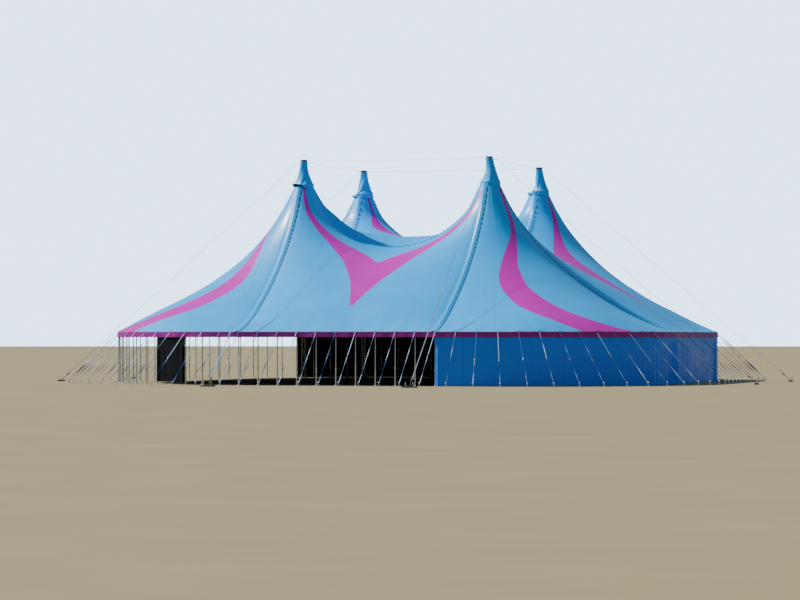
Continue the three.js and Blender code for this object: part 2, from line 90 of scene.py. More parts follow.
# %% Light and floor
SUN_TURN, SUN_HEIGHT = -106.0, 45.0  # degrees: from the camera's side of the tent towards the left, and up


def sun_lamp(name, turn, height, colour, strength, softness):
    lamp = bpy.data.lights.new(name, "SUN")
    lamp.color = colour
    lamp.energy = strength
    lamp.angle = math.radians(softness)
    holder = bpy.data.objects.new(name, lamp)
    bpy.context.scene.collection.objects.link(holder)
    holder.rotation_euler = (math.radians(90 - height), 0.0, math.radians(CAMERA_TURN + turn))


sun_lamp("key_light", SUN_TURN, SUN_HEIGHT, (1.0, 0.97, 0.90), 6.8, 3.0)
world = bpy.data.worlds.new("pale_sky")
bpy.context.scene.world = world
world.use_nodes = True
sky_light = world.node_tree.nodes["Background"]
sky_light.inputs["Color"].default_value = (0.50, 0.72, 1.0, 1.0)
sky_light.inputs["Strength"].default_value = 0.36
sky_seen = world.node_tree.nodes.new("ShaderNodeBackground")
sky_seen.inputs["Color"].default_value = (0.56, 0.78, 1.0, 1.0)
sky_seen.inputs["Strength"].default_value = 4.0
ray = world.node_tree.nodes.new("ShaderNodeLightPath")
either = world.node_tree.nodes.new("ShaderNodeMixShader")
world.node_tree.links.new(ray.outputs["Is Camera Ray"], either.inputs[0])
world.node_tree.links.new(sky_light.outputs[0], either.inputs[1])
world.node_tree.links.new(sky_seen.outputs[0], either.inputs[2])
world.node_tree.links.new(either.outputs[0], world.node_tree.nodes["World Output"].inputs["Surface"])

# %% [markdown]
# ## Shader sums
# A material here is a sum: a base colour, plus a mask times another. Wiring nodes one by one hides that, so a
# small class lets plain Python arithmetic add the Math nodes, and one method makes every other node.

# %% Shader sums


class Wire:
    """The output of a shader node. Arithmetic on it adds Math or Vector Math nodes."""

    def __init__(self, graph, socket):
        self.graph, self.socket = graph, socket

    def sum_of(self, operation, first, second):
        pair = (first, second)
        wide = any(isinstance(v, Wire) and v.socket.type in ("VECTOR", "RGBA") for v in pair)
        kind = "ShaderNodeVectorMath" if wide else "ShaderNodeMath"
        return self.graph.node(kind, {"operation": operation}, {0: first, 1: second})

    def __add__(self, other):
        return self.sum_of("ADD", self, other)

    def __sub__(self, other):
        return self.sum_of("SUBTRACT", self, other)

    def __mul__(self, other):
        return self.sum_of("MULTIPLY", self, other)

    def __radd__(self, other):
        return self.sum_of("ADD", other, self)

    def __rsub__(self, other):
        return self.sum_of("SUBTRACT", other, self)

    def __rmul__(self, other):
        return self.sum_of("MULTIPLY", other, self)


class Graph:
    """The nodes of one material."""

    def __init__(self, name):
        self.material = bpy.data.materials.new(name)
        self.material.use_nodes = True
        self.tree = self.material.node_tree
        self.tree.nodes.clear()

    def node(self, kind, settings=None, inputs=None, output=0):
        made = self.tree.nodes.new(kind)
        for key, value in (settings or {}).items():
            setattr(made, key, value)
        for key, value in (inputs or {}).items():
            socket = made.inputs[key]
            if isinstance(value, Wire):
                self.tree.links.new(value.socket, socket)
            elif socket.type == "RGBA":
                socket.default_value = (*value[:3], 1.0)
            elif socket.type == "VECTOR" and np.isscalar(value):
                socket.default_value = (value, value, value)
            else:
                socket.default_value = value
        return Wire(self, made.outputs[output])

    def place(self):
        return self.node("ShaderNodeTexCoord", output="Object")

    def field(self, name, output="Fac"):
        return self.node("ShaderNodeAttribute", {"attribute_name": name}, output=output)

    def noise(self, where, scale, detail=3.0):
        return self.node("ShaderNodeTexNoise", {}, {"Vector": where, "Scale": scale, "Detail": detail})

    def bands(self, where, scale, direction, distortion=0.0):
        settings = {"wave_type": "BANDS", "bands_direction": direction}
        inputs = {"Vector": where, "Scale": scale, "Distortion": distortion}
        return self.node("ShaderNodeTexWave", settings, inputs)

    def ramp(self, value, low, high, start=0.0, end=1.0):
        inputs = {"Value": value, "From Min": low, "From Max": high, "To Min": start, "To Max": end}
        return self.node("ShaderNodeMapRange", {"interpolation_type": "SMOOTHSTEP"}, inputs)

    def mix(self, share, first, second):
        inputs = {0: share, 6: first, 7: second}
        return self.node("ShaderNodeMix", {"data_type": "RGBA"}, inputs, output=2)

    def bump(self, height, distance, strength=1.0):
        inputs = {"Height": height, "Distance": distance, "Strength": strength}
        return self.node("ShaderNodeBump", {}, inputs)

    def surface(self, inputs):
        shader = self.node("ShaderNodeBsdfPrincipled", {}, inputs)
        output = self.tree.nodes.new("ShaderNodeOutputMaterial")
        self.tree.links.new(shader.socket, output.inputs["Surface"])
        return self.material


# %% Floor
def floor_paint():
    graph = Graph("floor_paint")
    grain = graph.noise(graph.place(), 0.6)
    colour = graph.mix(grain, (0.24, 0.20, 0.10), (0.32, 0.26, 0.13))
    return graph.surface({"Base Color": colour, "Roughness": 0.95})


floor_mesh = bpy.data.meshes.new("floor")
FLOOR_RADIUS = 400.0
floor_turn = np.linspace(0, 2 * math.pi, 97)[:-1]
edge = [(FLOOR_RADIUS * math.cos(a), FLOOR_RADIUS * math.sin(a), 0.0) for a in floor_turn]
floor_mesh.from_pydata(edge, [], [list(range(len(edge)))])
floor_mesh.materials.append(floor_paint())
floor = bpy.data.objects.new("floor", floor_mesh)
bpy.context.scene.collection.objects.link(floor)

# %% [markdown]
# ## Mesh sums
# Everything on the tent is one of a few forms: a thin sheet between two skins, a bar along a path, a turned
# shape, or a block with eased edges. Each function below gives points and faces as arrays, and a Piece
# gathers them into one object. Blender's own primitives would need a modifier or a boolean each, while
# arrays stay quick at a hundred copies.

# %% Mesh sums
UP = np.array([0.0, 0.0, 1.0])


def loft(rings, loop=False):
    """Skin over rings of points, given as rings by points by three."""
    count, size = rings.shape[:2]
    steps = np.arange(count if loop else count - 1)
    a = (steps[:, None] * size + np.arange(size)).ravel()
    b = (steps[:, None] * size + (np.arange(size) + 1) % size).ravel()
    ahead = ((steps[:, None] + 1) % count * size + np.arange(size)).ravel()
    across = ((steps[:, None] + 1) % count * size + (np.arange(size) + 1) % size).ravel()
    faces = np.stack([a, b, across, ahead], 1).tolist()
    if not loop:
        faces.append(list(range(size))[::-1])
        faces.append([(count - 1) * size + k for k in range(size)])
    return rings.reshape(-1, 3), faces


def along(path, outline, up=(0.0, 0.0, 1.0)):
    """Rings of an outline, sideways and upwards, set square along a path."""
    path = np.asarray(path, float)
    ahead = np.gradient(path, axis=0)
    ahead /= np.linalg.norm(ahead, axis=1, keepdims=True)
    up = np.broadcast_to(np.asarray(up, float), path.shape)
    side = np.cross(up, ahead)
    side /= np.linalg.norm(side, axis=1, keepdims=True)
    high = np.cross(ahead, side)
    outline = np.asarray(outline, float)[None]
    return path[:, None] + outline[..., :1] * side[:, None] + outline[..., 1:] * high[:, None]


def circle(radius, sides):
    turn = np.linspace(0, 2 * math.pi, sides, endpoint=False)
    return np.stack([radius * np.cos(turn), radius * np.sin(turn)], 1)


def flat_outline(width, thick):
    """A strap's section, with its long edges eased."""
    w, t = width / 2, thick / 2
    ease = thick / 3
    return np.array([(w, -t + ease), (w, t - ease), (w - ease, t), (-w + ease, t),
                     (-w, t - ease), (-w, -t + ease), (-w + ease, -t), (w - ease, -t)])


def bar(start, end, radius, sides=8):
    path = np.array([start, end], float)
    steep = abs(path[1, 2] - path[0, 2]) > 0.9 * np.linalg.norm(path[1] - path[0])
    return loft(along(path, circle(radius, sides), up=(1.0, 0.0, 0.0) if steep else (0.0, 0.0, 1.0)))


def turned(profile, sides, centre=(0.0, 0.0, 0.0)):
    """A shape turned about an upright line through centre, from radius and height pairs."""
    profile = np.asarray(profile, float)
    turn = np.linspace(0, 2 * math.pi, sides, endpoint=False)
    rings = np.empty((len(profile), sides, 3))
    rings[..., 0] = profile[:, :1] * np.cos(turn)
    rings[..., 1] = profile[:, :1] * np.sin(turn)
    rings[..., 2] = profile[:, 1:]
    return loft(rings + np.asarray(centre, float))


def hoop(radius, thick, sides, round_sides, centre=(0.0, 0.0, 0.0)):
    """A round bar bent into a level ring."""
    turn = np.linspace(0, 2 * math.pi, sides, endpoint=False)
    section = circle(thick, round_sides)
    rings = np.empty((sides, round_sides, 3))
    reach = radius + section[None, :, 0]
    rings[..., 0] = reach * np.cos(turn)[:, None]
    rings[..., 1] = reach * np.sin(turn)[:, None]
    rings[..., 2] = -section[None, :, 1]
    return loft(rings + np.asarray(centre, float), loop=True)


def ring_along(centres, radius, sides):
    """Round bar along a closed loop of centres."""
    ahead = np.roll(centres, -1, axis=0) - np.roll(centres, 1, axis=0)
    ahead /= np.linalg.norm(ahead, axis=1, keepdims=True)
    up = np.cross(ahead, centres - centres.mean(0))
    up /= np.linalg.norm(up, axis=1, keepdims=True)
    side = np.cross(up, ahead)
    section = circle(radius, sides)
    rings = centres[:, None] + section[None, :, :1] * side[:, None] + section[None, :, 1:] * up[:, None]
    return loft(rings, loop=True)


def block(low, high, ease):
    """A box with eased edges between two corners."""
    low, high = np.asarray(low, float), np.asarray(high, float)

    def layer(inset, z):
        x0, y0, x1, y1 = low[0] + inset, low[1] + inset, high[0] - inset, high[1] - inset
        return [(x1, y0 + ease, z), (x1, y1 - ease, z), (x1 - ease, y1, z), (x0 + ease, y1, z),
                (x0, y1 - ease, z), (x0, y0 + ease, z), (x0 + ease, y0, z), (x1 - ease, y0, z)]

    layers = [layer(ease, low[2]), layer(0, low[2] + ease), layer(0, high[2] - ease), layer(ease, high[2])]
    return loft(np.array(layers))


def spun(shape, turn):
    """Points and faces, turned about the upright."""
    points, faces = shape
    c, s = math.cos(turn), math.sin(turn)
    return points @ np.array([[c, -s, 0], [s, c, 0], [0, 0, 1]]).T, faces


class Piece:
    """Gathers shapes, set round a centre, into one object that rides on the tent."""

    def __init__(self, centre=(0.0, 0.0, 0.0)):
        self.centre = np.array(centre)
        self.points, self.faces, self.finishes, self.fields, self.count = [], [], [], [], 0

    def add(self, shape, finish, fields=None):
        """The finish is one material, or a list with one for each face."""
        points, faces = shape
        self.points.append(np.asarray(points, float) + self.centre)
        self.faces += [[v + self.count for v in face] for face in faces]
        self.finishes += finish if isinstance(finish, list) else [finish] * len(faces)
        self.fields.append((len(points), fields or {}))
        self.count += len(points)

    def put(self, shape, place, finish):
        """A shape moved to a place, given as an origin and the ways that its x and its y point there."""
        points, faces = shape
        origin, ahead, aside = place
        axes = np.stack([ahead, aside, np.cross(ahead, aside)])
        self.add((np.asarray(points) @ axes + origin, faces), finish)

    def add_four(self, shape, finish):
        """A shape repeated on the four sides of a mast."""
        for quarter in range(4):
            self.add(spun(shape, quarter * math.pi / 2), finish)

    def sweep(self, path, outline, finish, up=(0.0, 0.0, 1.0)):
        """A bar of that outline along a path, which also carries its running length for the shaders."""
        path, outline = np.asarray(path, float), np.asarray(outline, float)
        run = np.concatenate([[0], np.cumsum(np.linalg.norm(np.diff(path, axis=0), axis=1))])
        girth = np.concatenate([[0], np.cumsum(np.linalg.norm(np.diff(outline, axis=0), axis=1))])
        run_of_each = np.repeat(run, len(girth))
        cut = np.stack([np.tile(girth, len(run)), run_of_each, np.zeros_like(run_of_each)], 1)
        self.add(loft(along(path, outline, up)), finish, {"cut": cut})

    def make(self, name, slot, stands_for=(), crease=35.0):
        mesh = bpy.data.meshes.new(name)
        points = np.concatenate(self.points)
        mesh.from_pydata(points.tolist(), [], self.faces)
        index = {finish: number for number, finish in enumerate(dict.fromkeys(self.finishes))}
        for finish in index:
            mesh.materials.append(finish)
        mesh.polygons.foreach_set("material_index", [index[finish] for finish in self.finishes])
        mesh.polygons.foreach_set("use_smooth", [True] * len(self.faces))
        mesh.set_sharp_from_angle(angle=math.radians(crease))
        for key in sorted({key for size, fields in self.fields for key in fields}):
            wide = key == "cut"
            attribute = mesh.attributes.new(key, "FLOAT_VECTOR" if wide else "FLOAT", "POINT")
            values = [fields.get(key, np.zeros((size, 3) if wide else size)) for size, fields in self.fields]
            attribute.data.foreach_set("vector" if wide else "value", np.concatenate(values).ravel())
        made = bpy.data.objects.new(name, mesh)
        bpy.context.scene.collection.objects.link(made)
        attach(made, "root")
        if stands_for:
            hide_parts(*stands_for)
        return made


def sheet_shape(outer, thick, wrap=False):
    """A thin closed sheet under a grid of points, rows by columns by three, and for each face whether it is
    part of the lining."""
    down = np.gradient(outer, axis=0)
    if wrap:
        across = (np.roll(outer, -1, axis=1) - np.roll(outer, 1, axis=1)) / 2
    else:
        across = np.gradient(outer, axis=1)
    normal = np.cross(down, across)
    normal /= np.linalg.norm(normal, axis=2, keepdims=True)
    inner = outer - thick * normal
    rows, columns = outer.shape[:2]
    grid = np.arange(rows * columns).reshape(rows, columns)
    if wrap:
        grid = np.concatenate([grid, grid[:, :1]], 1)
    a, b, c, d = grid[:-1, :-1], grid[1:, :-1], grid[1:, 1:], grid[:-1, 1:]
    skin = np.stack([a, b, c, d], -1).reshape(-1, 4)
    below = rows * columns
    rims = [(grid[0], False), (grid[-1], True)]
    if not wrap:
        rims += [(grid[:, 0], True), (grid[:, -1], False)]
    faces = skin.tolist() + (skin[:, [0, 3, 2, 1]] + below).tolist()
    lined = [False] * len(skin) + [True] * len(skin)
    for line, turn in rims:
        quads = np.stack([line[:-1], line[1:], line[1:] + below, line[:-1] + below], 1)
        faces += (quads[:, ::-1] if turn else quads).tolist()
        lined += [False] * len(quads)
    return (np.concatenate([outer.reshape(-1, 3), inner.reshape(-1, 3)]), faces), lined


def sheet_piece(node, outer, thick, outside, lining, slot, fields, wrap=False):
    """The cloth that stands for a node, with fields that are the same on both of its skins."""
    shape, lined = sheet_shape(outer, thick, wrap)
    size = outer[..., 0].size
    doubled = {key: np.concatenate([values.reshape(size, -1)] * 2) for key, values in fields.items()}
    piece = Piece()
    piece.add(shape, [lining if inside else outside for inside in lined], doubled)
    return piece.make(node + "_cloth", slot, [node])


# %% [markdown]
# ## The eave
# Everything below the roof is hung out along the eave by bay number: 0 at the front's left end, counting to
# the right and round the tent. One function gives the place and the way out at any number, whole or not.

# %% The eave


def eave(number, inset=0.0):
    """Places in plan that far inside the eave line, and the way out there."""
    number = np.asarray(number, float)
    quarters = np.floor(number / TURN_BAYS)
    bay = number - quarters * TURN_BAYS
    angle = np.maximum(0.0, bay - SIDE_BAYS) / CORNER_BAYS * math.pi / 2
    along_side = -HALF + 2 * HALF * np.minimum(bay, SIDE_BAYS) / SIDE_BAYS
    radius = CORNER_RADIUS - np.asarray(inset, float)
    x = along_side + radius * np.sin(angle)
    y = -HALF - radius * np.cos(angle)
    turn = quarters * math.pi / 2
    c, s = np.cos(turn), np.sin(turn)
    out_x, out_y = np.sin(angle), -np.cos(angle)
    place = np.stack([c * x - s * y, s * x + c * y], -1)
    way = np.stack([c * out_x - s * out_y, s * out_x + c * out_y], -1)
    return place, way


# %% [markdown]
# ## The canopy's form
# A tensioned roof is a saddle between its peaks. It could be found by simulating cloth, but the real sheet
# was cut to a form, so a formula is steadier: a sum of logarithms round the four peaks, as a soap film has,
# plus a dip along each ridge, a fullness low on each side, and a cone where the cloth meets a ring.

# %% The canopy's form
TINY = 1e-9
SOFTNESS = 1.1  # how blunt the peaks are
RING_SHIFT = 0.16  # how far the peaks lean out from the king poles
BOWL, STAR = 1.1, 0.7  # what the height gains towards the eave, evenly and by its four corners
LEVEL, FOUR_FOLD, EIGHT_FOLD = 11.191, 0.849, 0.0334  # these bring the eave close to level
SWELL_AT_RING = 2.492
RISE, ARCH = 9.88, 0.119  # from the eave to a ring, in real metres, and how far that rise is from even
RIDGE_DIP, RIDGE_BREADTH = 0.585, 2.5
FULLNESS = 0.9  # how far the middle of a side stands out beyond a plain taut sheet, in real metres
FULLEST = 2.5 / 3.7  # where it does so, as a share of the way down
CONE_SLOPE, CONE_REACH = 1.9, 0.65


def bell(value, middle, width, power=2):
    """1 at the middle, and falling to nothing on both sides of it."""
    return np.exp(-(((value - middle) / width) ** power))


def taut_height(x, y):
    """Height of the taut cloth over places in plan, before it is levelled at the eave."""
    x, y = np.asarray(x) / SCALE, np.asarray(y) / SCALE
    half, reach = HALF / SCALE, np.hypot(x, y) * SCALE / (HALF + CORNER_RADIUS)
    angle = np.arctan2(y, x)
    fourfold = reach**4 * np.cos(4 * angle)
    eightfold = reach**8 * np.cos(8 * angle)
    total = LEVEL + (BOWL + STAR * fourfold) * reach**2 - FOUR_FOLD * fourfold + EIGHT_FOLD * eightfold
    peak = half + RING_SHIFT
    for sign_x in (-1, 1):
        for sign_y in (-1, 1):
            total = total - np.log(np.hypot(x - sign_x * peak, y - sign_y * peak) + SOFTNESS)
    share = total / SWELL_AT_RING

    def span(v):
        return np.maximum(0, 1 - (v / half) ** 2) ** 2

    def bulge(v):
        return v**2.5 * (1 - v) ** 1.2

    far, aside = np.maximum(np.abs(x), np.abs(y)), np.minimum(np.abs(x), np.abs(y))
    down = np.clip((far - half) / (CORNER_RADIUS / SCALE), 0, 1)
    full = FULLNESS * np.maximum(0, 1 - (aside / half) ** 3) * bulge(down) / bulge(FULLEST)
    taut = EAVE / SCALE + RISE * ((1 + ARCH) * share - ARCH * share**2)
    dip = span(x) * bell(np.abs(y), half, RIDGE_BREADTH) + span(y) * bell(np.abs(x), half, RIDGE_BREADTH)
    taut = taut - RIDGE_DIP * dip + full
    out = np.hypot(np.abs(x) - half, np.abs(y) - half) - RING_RADIUS / SCALE
    cone = RING_TOP / SCALE - CONE_SLOPE * out
    return SCALE * (taut + (cone - taut) * bell(out, 0, CONE_REACH))


def billow(x, y):
    """The slight unevenness of a real sheet, the same for all panels so that they still meet."""
    pick = np.random.default_rng(7)
    total = np.zeros_like(x)
    for step in range(14):
        wave = 1.6 + 2.4 * pick.random()
        turn = 2 * math.pi * pick.random()
        phase = 2 * math.pi * pick.random()
        total += np.sin(2 * math.pi * (x * math.cos(turn) + y * math.sin(turn)) / wave + phase)
    return 0.0022 * total


def beside_seam(reach):
    """The cloth beside a laced seam: a valley before the cover flap, and a slight pull at the lace."""
    return -0.010 * bell(reach, -0.20, 0.05) - 0.004 * bell(reach, 0.04, 0.05)


def crease_along_ridges(x, y):
    """The cloth comes to a crease at each laced ridge, and sags a little on both sides of it."""

    def crease(along_ridge, off_ridge):
        share = (along_ridge / HALF) ** 2
        peak = 0.10 * np.exp(-np.abs(off_ridge) / 0.22)
        sag = (0.04 + 0.30 * share) * bell(off_ridge, 0, 0.5)
        return np.maximum(0, 1 - share) * (peak - sag)

    return crease(x, np.abs(y) - HALF) + crease(y, np.abs(x) - HALF)


def pole_ridges(bay, down):
    """The cloth is pushed up a little over each side pole, most at the eave."""
    return np.cos(2 * math.pi * bay) * (0.006 * np.exp(-down / 0.35) + 0.0025 * np.exp(-down / 1.4))


def ring_gathers(from_ring, angle):
    """Short folds that run out from a king pole's ring."""
    start = np.clip(from_ring / 0.1, 0, 1)
    return 0.006 * start * np.exp(-np.maximum(from_ring, 0) / 0.5) * np.cos(28 * angle)


def turned_to_front(x, y):
    """How many quarter turns lie between the front and a place, -1 over the middle, and the place turned
    back by them."""
    quarters = np.select([(y < -HALF + TINY) & (x >= -HALF - TINY), (x > HALF - TINY) & (y >= -HALF - TINY),
                          (y > HALF - TINY) & (x <= HALF + TINY), (x < -HALF + TINY) & (y <= HALF + TINY)],
                         [0, 1, 2, 3], -1)
    turn = -np.maximum(quarters, 0) * math.pi / 2
    return quarters, x * np.cos(turn) - y * np.sin(turn), x * np.sin(turn) + y * np.cos(turn)


def cloth_top(x, y):
    """Height of the finished cloth's outside over places in plan, anywhere on the roof."""
    x, y = np.broadcast_arrays(np.asarray(x, float), np.asarray(y, float))
    quarters, a, b = turned_to_front(x, y)
    beyond, aside = -b - HALF, np.maximum(a - HALF, 0)
    round_corner = aside > TINY
    far = np.where(round_corner, np.hypot(aside, np.maximum(beyond, 0)), beyond)
    bend = np.sqrt(np.maximum(RING_RADIUS**2 - (HALF - np.abs(a)) ** 2, 0))
    ring = np.where(round_corner, RING_RADIUS, bend)
    share = np.clip((far - ring) / (CORNER_RADIUS - ring), 0, 1)
    stretch = CORNER_RADIUS / np.maximum(far, 1e-6)
    edge_a = np.where(round_corner, HALF + aside * stretch, a)
    edge_b = np.where(round_corner, -HALF - beyond * stretch, -HALF - CORNER_RADIUS)
    level = np.where(quarters >= 0, (EAVE - taut_height(edge_a, edge_b)) * share**6, 0)
    corner_bay = SIDE_BAYS + np.arctan2(aside, np.maximum(beyond, TINY)) / (math.pi / 2) * CORNER_BAYS
    bay = np.where(round_corner, corner_bay, (a + HALF) / (2 * HALF) * SIDE_BAYS)
    down = np.where(quarters >= 0, (1 - share) * (CORNER_RADIUS - RING_RADIUS), 9.0)
    from_ring = np.hypot(np.abs(x) - HALF, np.abs(y) - HALF) - 0.37
    angle = np.arctan2(np.abs(y) - HALF, np.abs(x) - HALF)
    first_seam = np.where(a < 0, a + HALF, a - HALF)
    valleys = beside_seam(first_seam) + np.where(round_corner, beside_seam(b + HALF), 0)
    valleys = np.where(quarters >= 0, valleys, 0)
    calm = np.clip(from_ring / 0.8, 0, 1)
    detail = pole_ridges(bay, down) + ring_gathers(from_ring, angle) + (billow(x, y) + valleys) * calm
    return taut_height(x, y) + level + detail * np.clip(down / 0.05, 0.3, 1) + crease_along_ridges(x, y)


def on_cloth(x, y, lift):
    """Points that far above the cloth, measured square to it."""
    x, y, lift = np.broadcast_arrays(np.asarray(x, float), np.asarray(y, float), lift)
    step = 0.01
    fall_x = (cloth_top(x + step, y) - cloth_top(x - step, y)) / (2 * step)
    fall_y = (cloth_top(x, y + step) - cloth_top(x, y - step)) / (2 * step)
    square = np.stack([-fall_x, -fall_y, np.ones_like(x)], -1)
    square /= np.linalg.norm(square, axis=-1, keepdims=True)
    return np.stack([x, y, cloth_top(x, y)], -1) + lift[..., None] * square


def quarter_turn(x, y, quarters):
    for step in range(quarters):
        x, y = -y, x
    return x, y


print("cloth is", round(float(cloth_top(0, 0)), 2), "m high in the middle")

# %% [markdown]
# ## The bands
# Magenta bands swing from each king pole, meet over the straight sides in a pointed drop, and sweep across
# the corners to the eave. Neighbouring corners are mirror images. The middle panel has one band from the
# back left pole, and its like from the front right. They are drawn as smooth outlines in plan, in real
# metres, and each point of the mesh is told its distance to the outline. A shader turns that distance into
# a crisp edge, which vertex colours can't.

# %% The bands


def smooth_line(points, steps=12):
    """A curve through the points."""
    points = np.asarray(points, float)
    padded = np.concatenate([2 * points[:1] - points[1:2], points, 2 * points[-1:] - points[-2:-1]])
    line = []
    for a, b, c, d in zip(padded, padded[1:], padded[2:], padded[3:]):
        t = np.linspace(0, 1, steps, endpoint=False)[:, None]
        line.append(0.5 * (2 * b + (c - a) * t + (2 * a - 5 * b + 4 * c - d) * t**2
                           + (3 * b - a - 3 * c + d) * t**3))
    return np.concatenate(line + [points[-1:]])


def inside_by(x, y, outline):
    """Distance to a closed outline, positive inside it."""
    px, py = x.ravel()[:, None], y.ravel()[:, None]
    ax, ay = outline[:, 0], outline[:, 1]
    bx, by = np.roll(ax, -1), np.roll(ay, -1)
    length = np.maximum((bx - ax) ** 2 + (by - ay) ** 2, 1e-12)
    t = np.clip(((px - ax) * (bx - ax) + (py - ay) * (by - ay)) / length, 0, 1)
    far = np.hypot(px - ax - t * (bx - ax), py - ay - t * (by - ay)).min(1)
    crosses = (ay > py) != (by > py)
    rise = np.where(np.abs(by - ay) < 1e-12, 1e-12, by - ay)
    crosses &= px < (bx - ax) * (py - ay) / rise + ax
    inside = crosses.sum(1) % 2 == 1
    return np.where(inside, far, -far).reshape(x.shape)


WING_TOP = [(6.62, -6.75), (6.45, -7.35), (5.85, -7.93), (4.80, -8.32), (3.45, -8.66), (2.50, -8.90),
            (1.70, -9.28), (0.95, -9.84), (0.0, -10.9)]
WING_UNDER = [(0.0, -16.85), (0.25, -16.0), (0.86, -14.1), (1.30, -13.05), (1.87, -12.0), (2.45, -11.0),
              (3.15, -10.2), (3.95, -9.47), (4.85, -8.93), (5.95, -8.30), (6.33, -7.90), (6.58, -7.45),
              (6.72, -6.75)]
SWEEP_OUTER = [(0.4, 6), (0.84, 22), (1.3, 27), (2.0, 33), (2.7, 42), (3.5, 54), (4.5, 63), (5.8, 68),
               (7.0, 68.5), (8.4, 66), (10.0, 62), (11.5, 55.5), (13.4, 44.5)]
SWEEP_INNER = [(13.4, 22), (12.6, 32), (11.9, 39), (11.0, 44.5), (9.8, 49), (8.3, 52.5), (7.2, 54),
               (6.0, 53.5), (4.8, 51), (3.5, 42), (2.6, 31), (1.9, 20), (1.2, 10), (0.8, 0), (0.4, -10)]
RIDGE_OUTER = [(6.32, 6.42), (5.60, 6.03), (4.96, 5.50), (4.20, 5.03), (3.20, 4.85), (1.6, 4.72), (0.4, 4.60)]
RIDGE_INNER = [(1.8, 4.30), (3.40, 4.15), (4.60, 4.33), (5.25, 4.60), (5.62, 5.05), (5.86, 5.80),
               (6.42, 6.32)]


def band_outline(there, back):
    return np.concatenate([smooth_line(there), smooth_line(back)])


def wing_band(x, y):
    return inside_by(np.abs(x) / SCALE, y / SCALE, band_outline(WING_TOP, WING_UNDER)) * SCALE


def sweep_band(x, y):
    """Its outline is drawn round the king pole, in metres from it and degrees from the side's line."""
    polar = band_outline(SWEEP_OUTER, SWEEP_INNER)
    radius, angle = polar[:, 0] * SCALE, np.radians(polar[:, 1])
    return inside_by(x, y, np.stack([HALF + radius * np.cos(angle), -HALF - radius * np.sin(angle)], 1))


def sweep_band_mirrored(x, y):
    return sweep_band(-y, -x)


def ridge_band(x, y):
    outline = band_outline(RIDGE_OUTER, RIDGE_INNER)
    return inside_by(-x * np.sign(y) / SCALE, np.abs(y) / SCALE, outline) * SCALE


# %% [markdown]
# ## Cloth finishes
# The roof is polyester coated with coloured plastic: glossy, a little grimy towards the eave, welded from
# strips about two metres wide. A flat blue would look like paint, so the shader adds the weld laps, the
# fine scrim of the weave, faint creases from folding, and dust that runs down the slope.

# %% Cloth finishes
AZURE = (0.0, 0.40, 1.0)
MAGENTA = (0.52, 0.0, 0.42)
# The valance gets a darker magenta than the roof's bands. The darkening is painted shade, for an upright band
# that mostly faces away from the sun.
SHADED_VALANCE_MAGENTA = (0.27, 0.0, 0.24)
WALL_BLUE = (0.0, 0.20, 1.0)
NIGHT = (0.004, 0.005, 0.010)
STRIP = 2.2 * SCALE  # width of the strips that the cloth is welded from


def cloth(name, colour, second=None, rough=0.42, dust=0.02, strip=STRIP, coat=0.2, creases=0.012, glint=0.3):
    graph = Graph(name)
    place = graph.place()
    cut = graph.field("cut", "Vector")
    across = graph.node("ShaderNodeSeparateXYZ", {}, {0: cut})
    shade = graph.noise(place, 0.55, 4.0)
    base = graph.mix(shade, [0.88 * v for v in colour], [min(1.0, 1.1 * v) for v in colour])
    if second:
        inside = graph.ramp(graph.field("band"), -0.002, 0.002)
        other = graph.mix(shade, [0.88 * v for v in second], [1.1 * v for v in second])
        base = graph.mix(inside, base, other)
    streaks = graph.noise(cut * (6.0, 0.7, 1.0), 1.0, 5.0)
    grime = graph.ramp(streaks, 0.52, 0.78) * dust
    base = graph.mix(grime, base, (0.35, 0.45, 0.50))
    weave = graph.bands(cut, 90.0, "X")
    weft = graph.bands(cut, 90.0, "Y")
    folding = graph.noise(place * (1.0, 1.0, 1.6), 2.4, 5.0)
    height = folding * creases + (weave + weft) * 0.00012
    if strip:
        fold = graph.node("ShaderNodeMath", {"operation": "PINGPONG"}, {0: across, 1: strip / 2})
        lap = graph.ramp(fold, 0.012, 0.016, 1.0, 0.0)
        base = graph.mix(lap * 0.16, base, [0.45 * v for v in colour])
        height = height + lap * 0.0012
    shine = graph.noise(place, 1.3, 3.0)
    return graph.surface({
        "Base Color": base,
        "Roughness": graph.ramp(shine, 0.3, 0.7, rough - 0.06, rough + 0.08),
        "Normal": graph.bump(height, 0.6, 0.5),
        "Coat Weight": coat,
        "Coat Roughness": 0.22,
        "Specular IOR Level": glint,
    })


roof_cloth = cloth("roof_cloth", AZURE, MAGENTA)
roof_lining = cloth("roof_lining", NIGHT, rough=0.6, dust=0.01, coat=0.0, glint=0.1)
flap_cloth = cloth("flap_cloth", AZURE, dust=0.05, strip=0, creases=0.02)
hat_cloth = cloth("hat_cloth", AZURE, rough=0.38, strip=0, creases=0.03)
# The valance's darker magenta is painted shade.
valance_cloth = cloth("valance_cloth", SHADED_VALANCE_MAGENTA, dust=0.03, strip=0, coat=0.0, creases=0.02)
wall_cloth = cloth("wall_cloth", WALL_BLUE, dust=0.04, coat=0.08, creases=0.03)
wall_lining = cloth("wall_lining", NIGHT, rough=0.6, dust=0.01, coat=0.0, creases=0.03, glint=0.1)

# %% [markdown]
# ## Metal, rope and webbing finishes
# Galvanised steel is mottled by its zinc crystals, mast paint is scuffed, wire rope shows its strands, and
# webbing its ribs. Each is one small sum over noise or over the running length that a swept rope or strap
# carries.

# %% Metal, rope and webbing finishes


def metal(name, light, dark, rough, metallic):
    graph = Graph(name)
    place = graph.place()
    crystals = graph.node("ShaderNodeTexVoronoi", {"feature": "F1"}, {"Vector": place, "Scale": 60.0})
    wear = graph.ramp(graph.noise(place, 14.0, 5.0), 0.38, 0.72)
    base = graph.mix(wear, light, dark)
    base = graph.mix(crystals * 0.35, base, [0.8 * v for v in light])
    return graph.surface({
        "Base Color": base,
        "Metallic": metallic,
        "Roughness": graph.ramp(wear, 0.0, 1.0, rough, rough + 0.16),
        "Normal": graph.bump(crystals + wear * 2.0, 0.0006),
    })


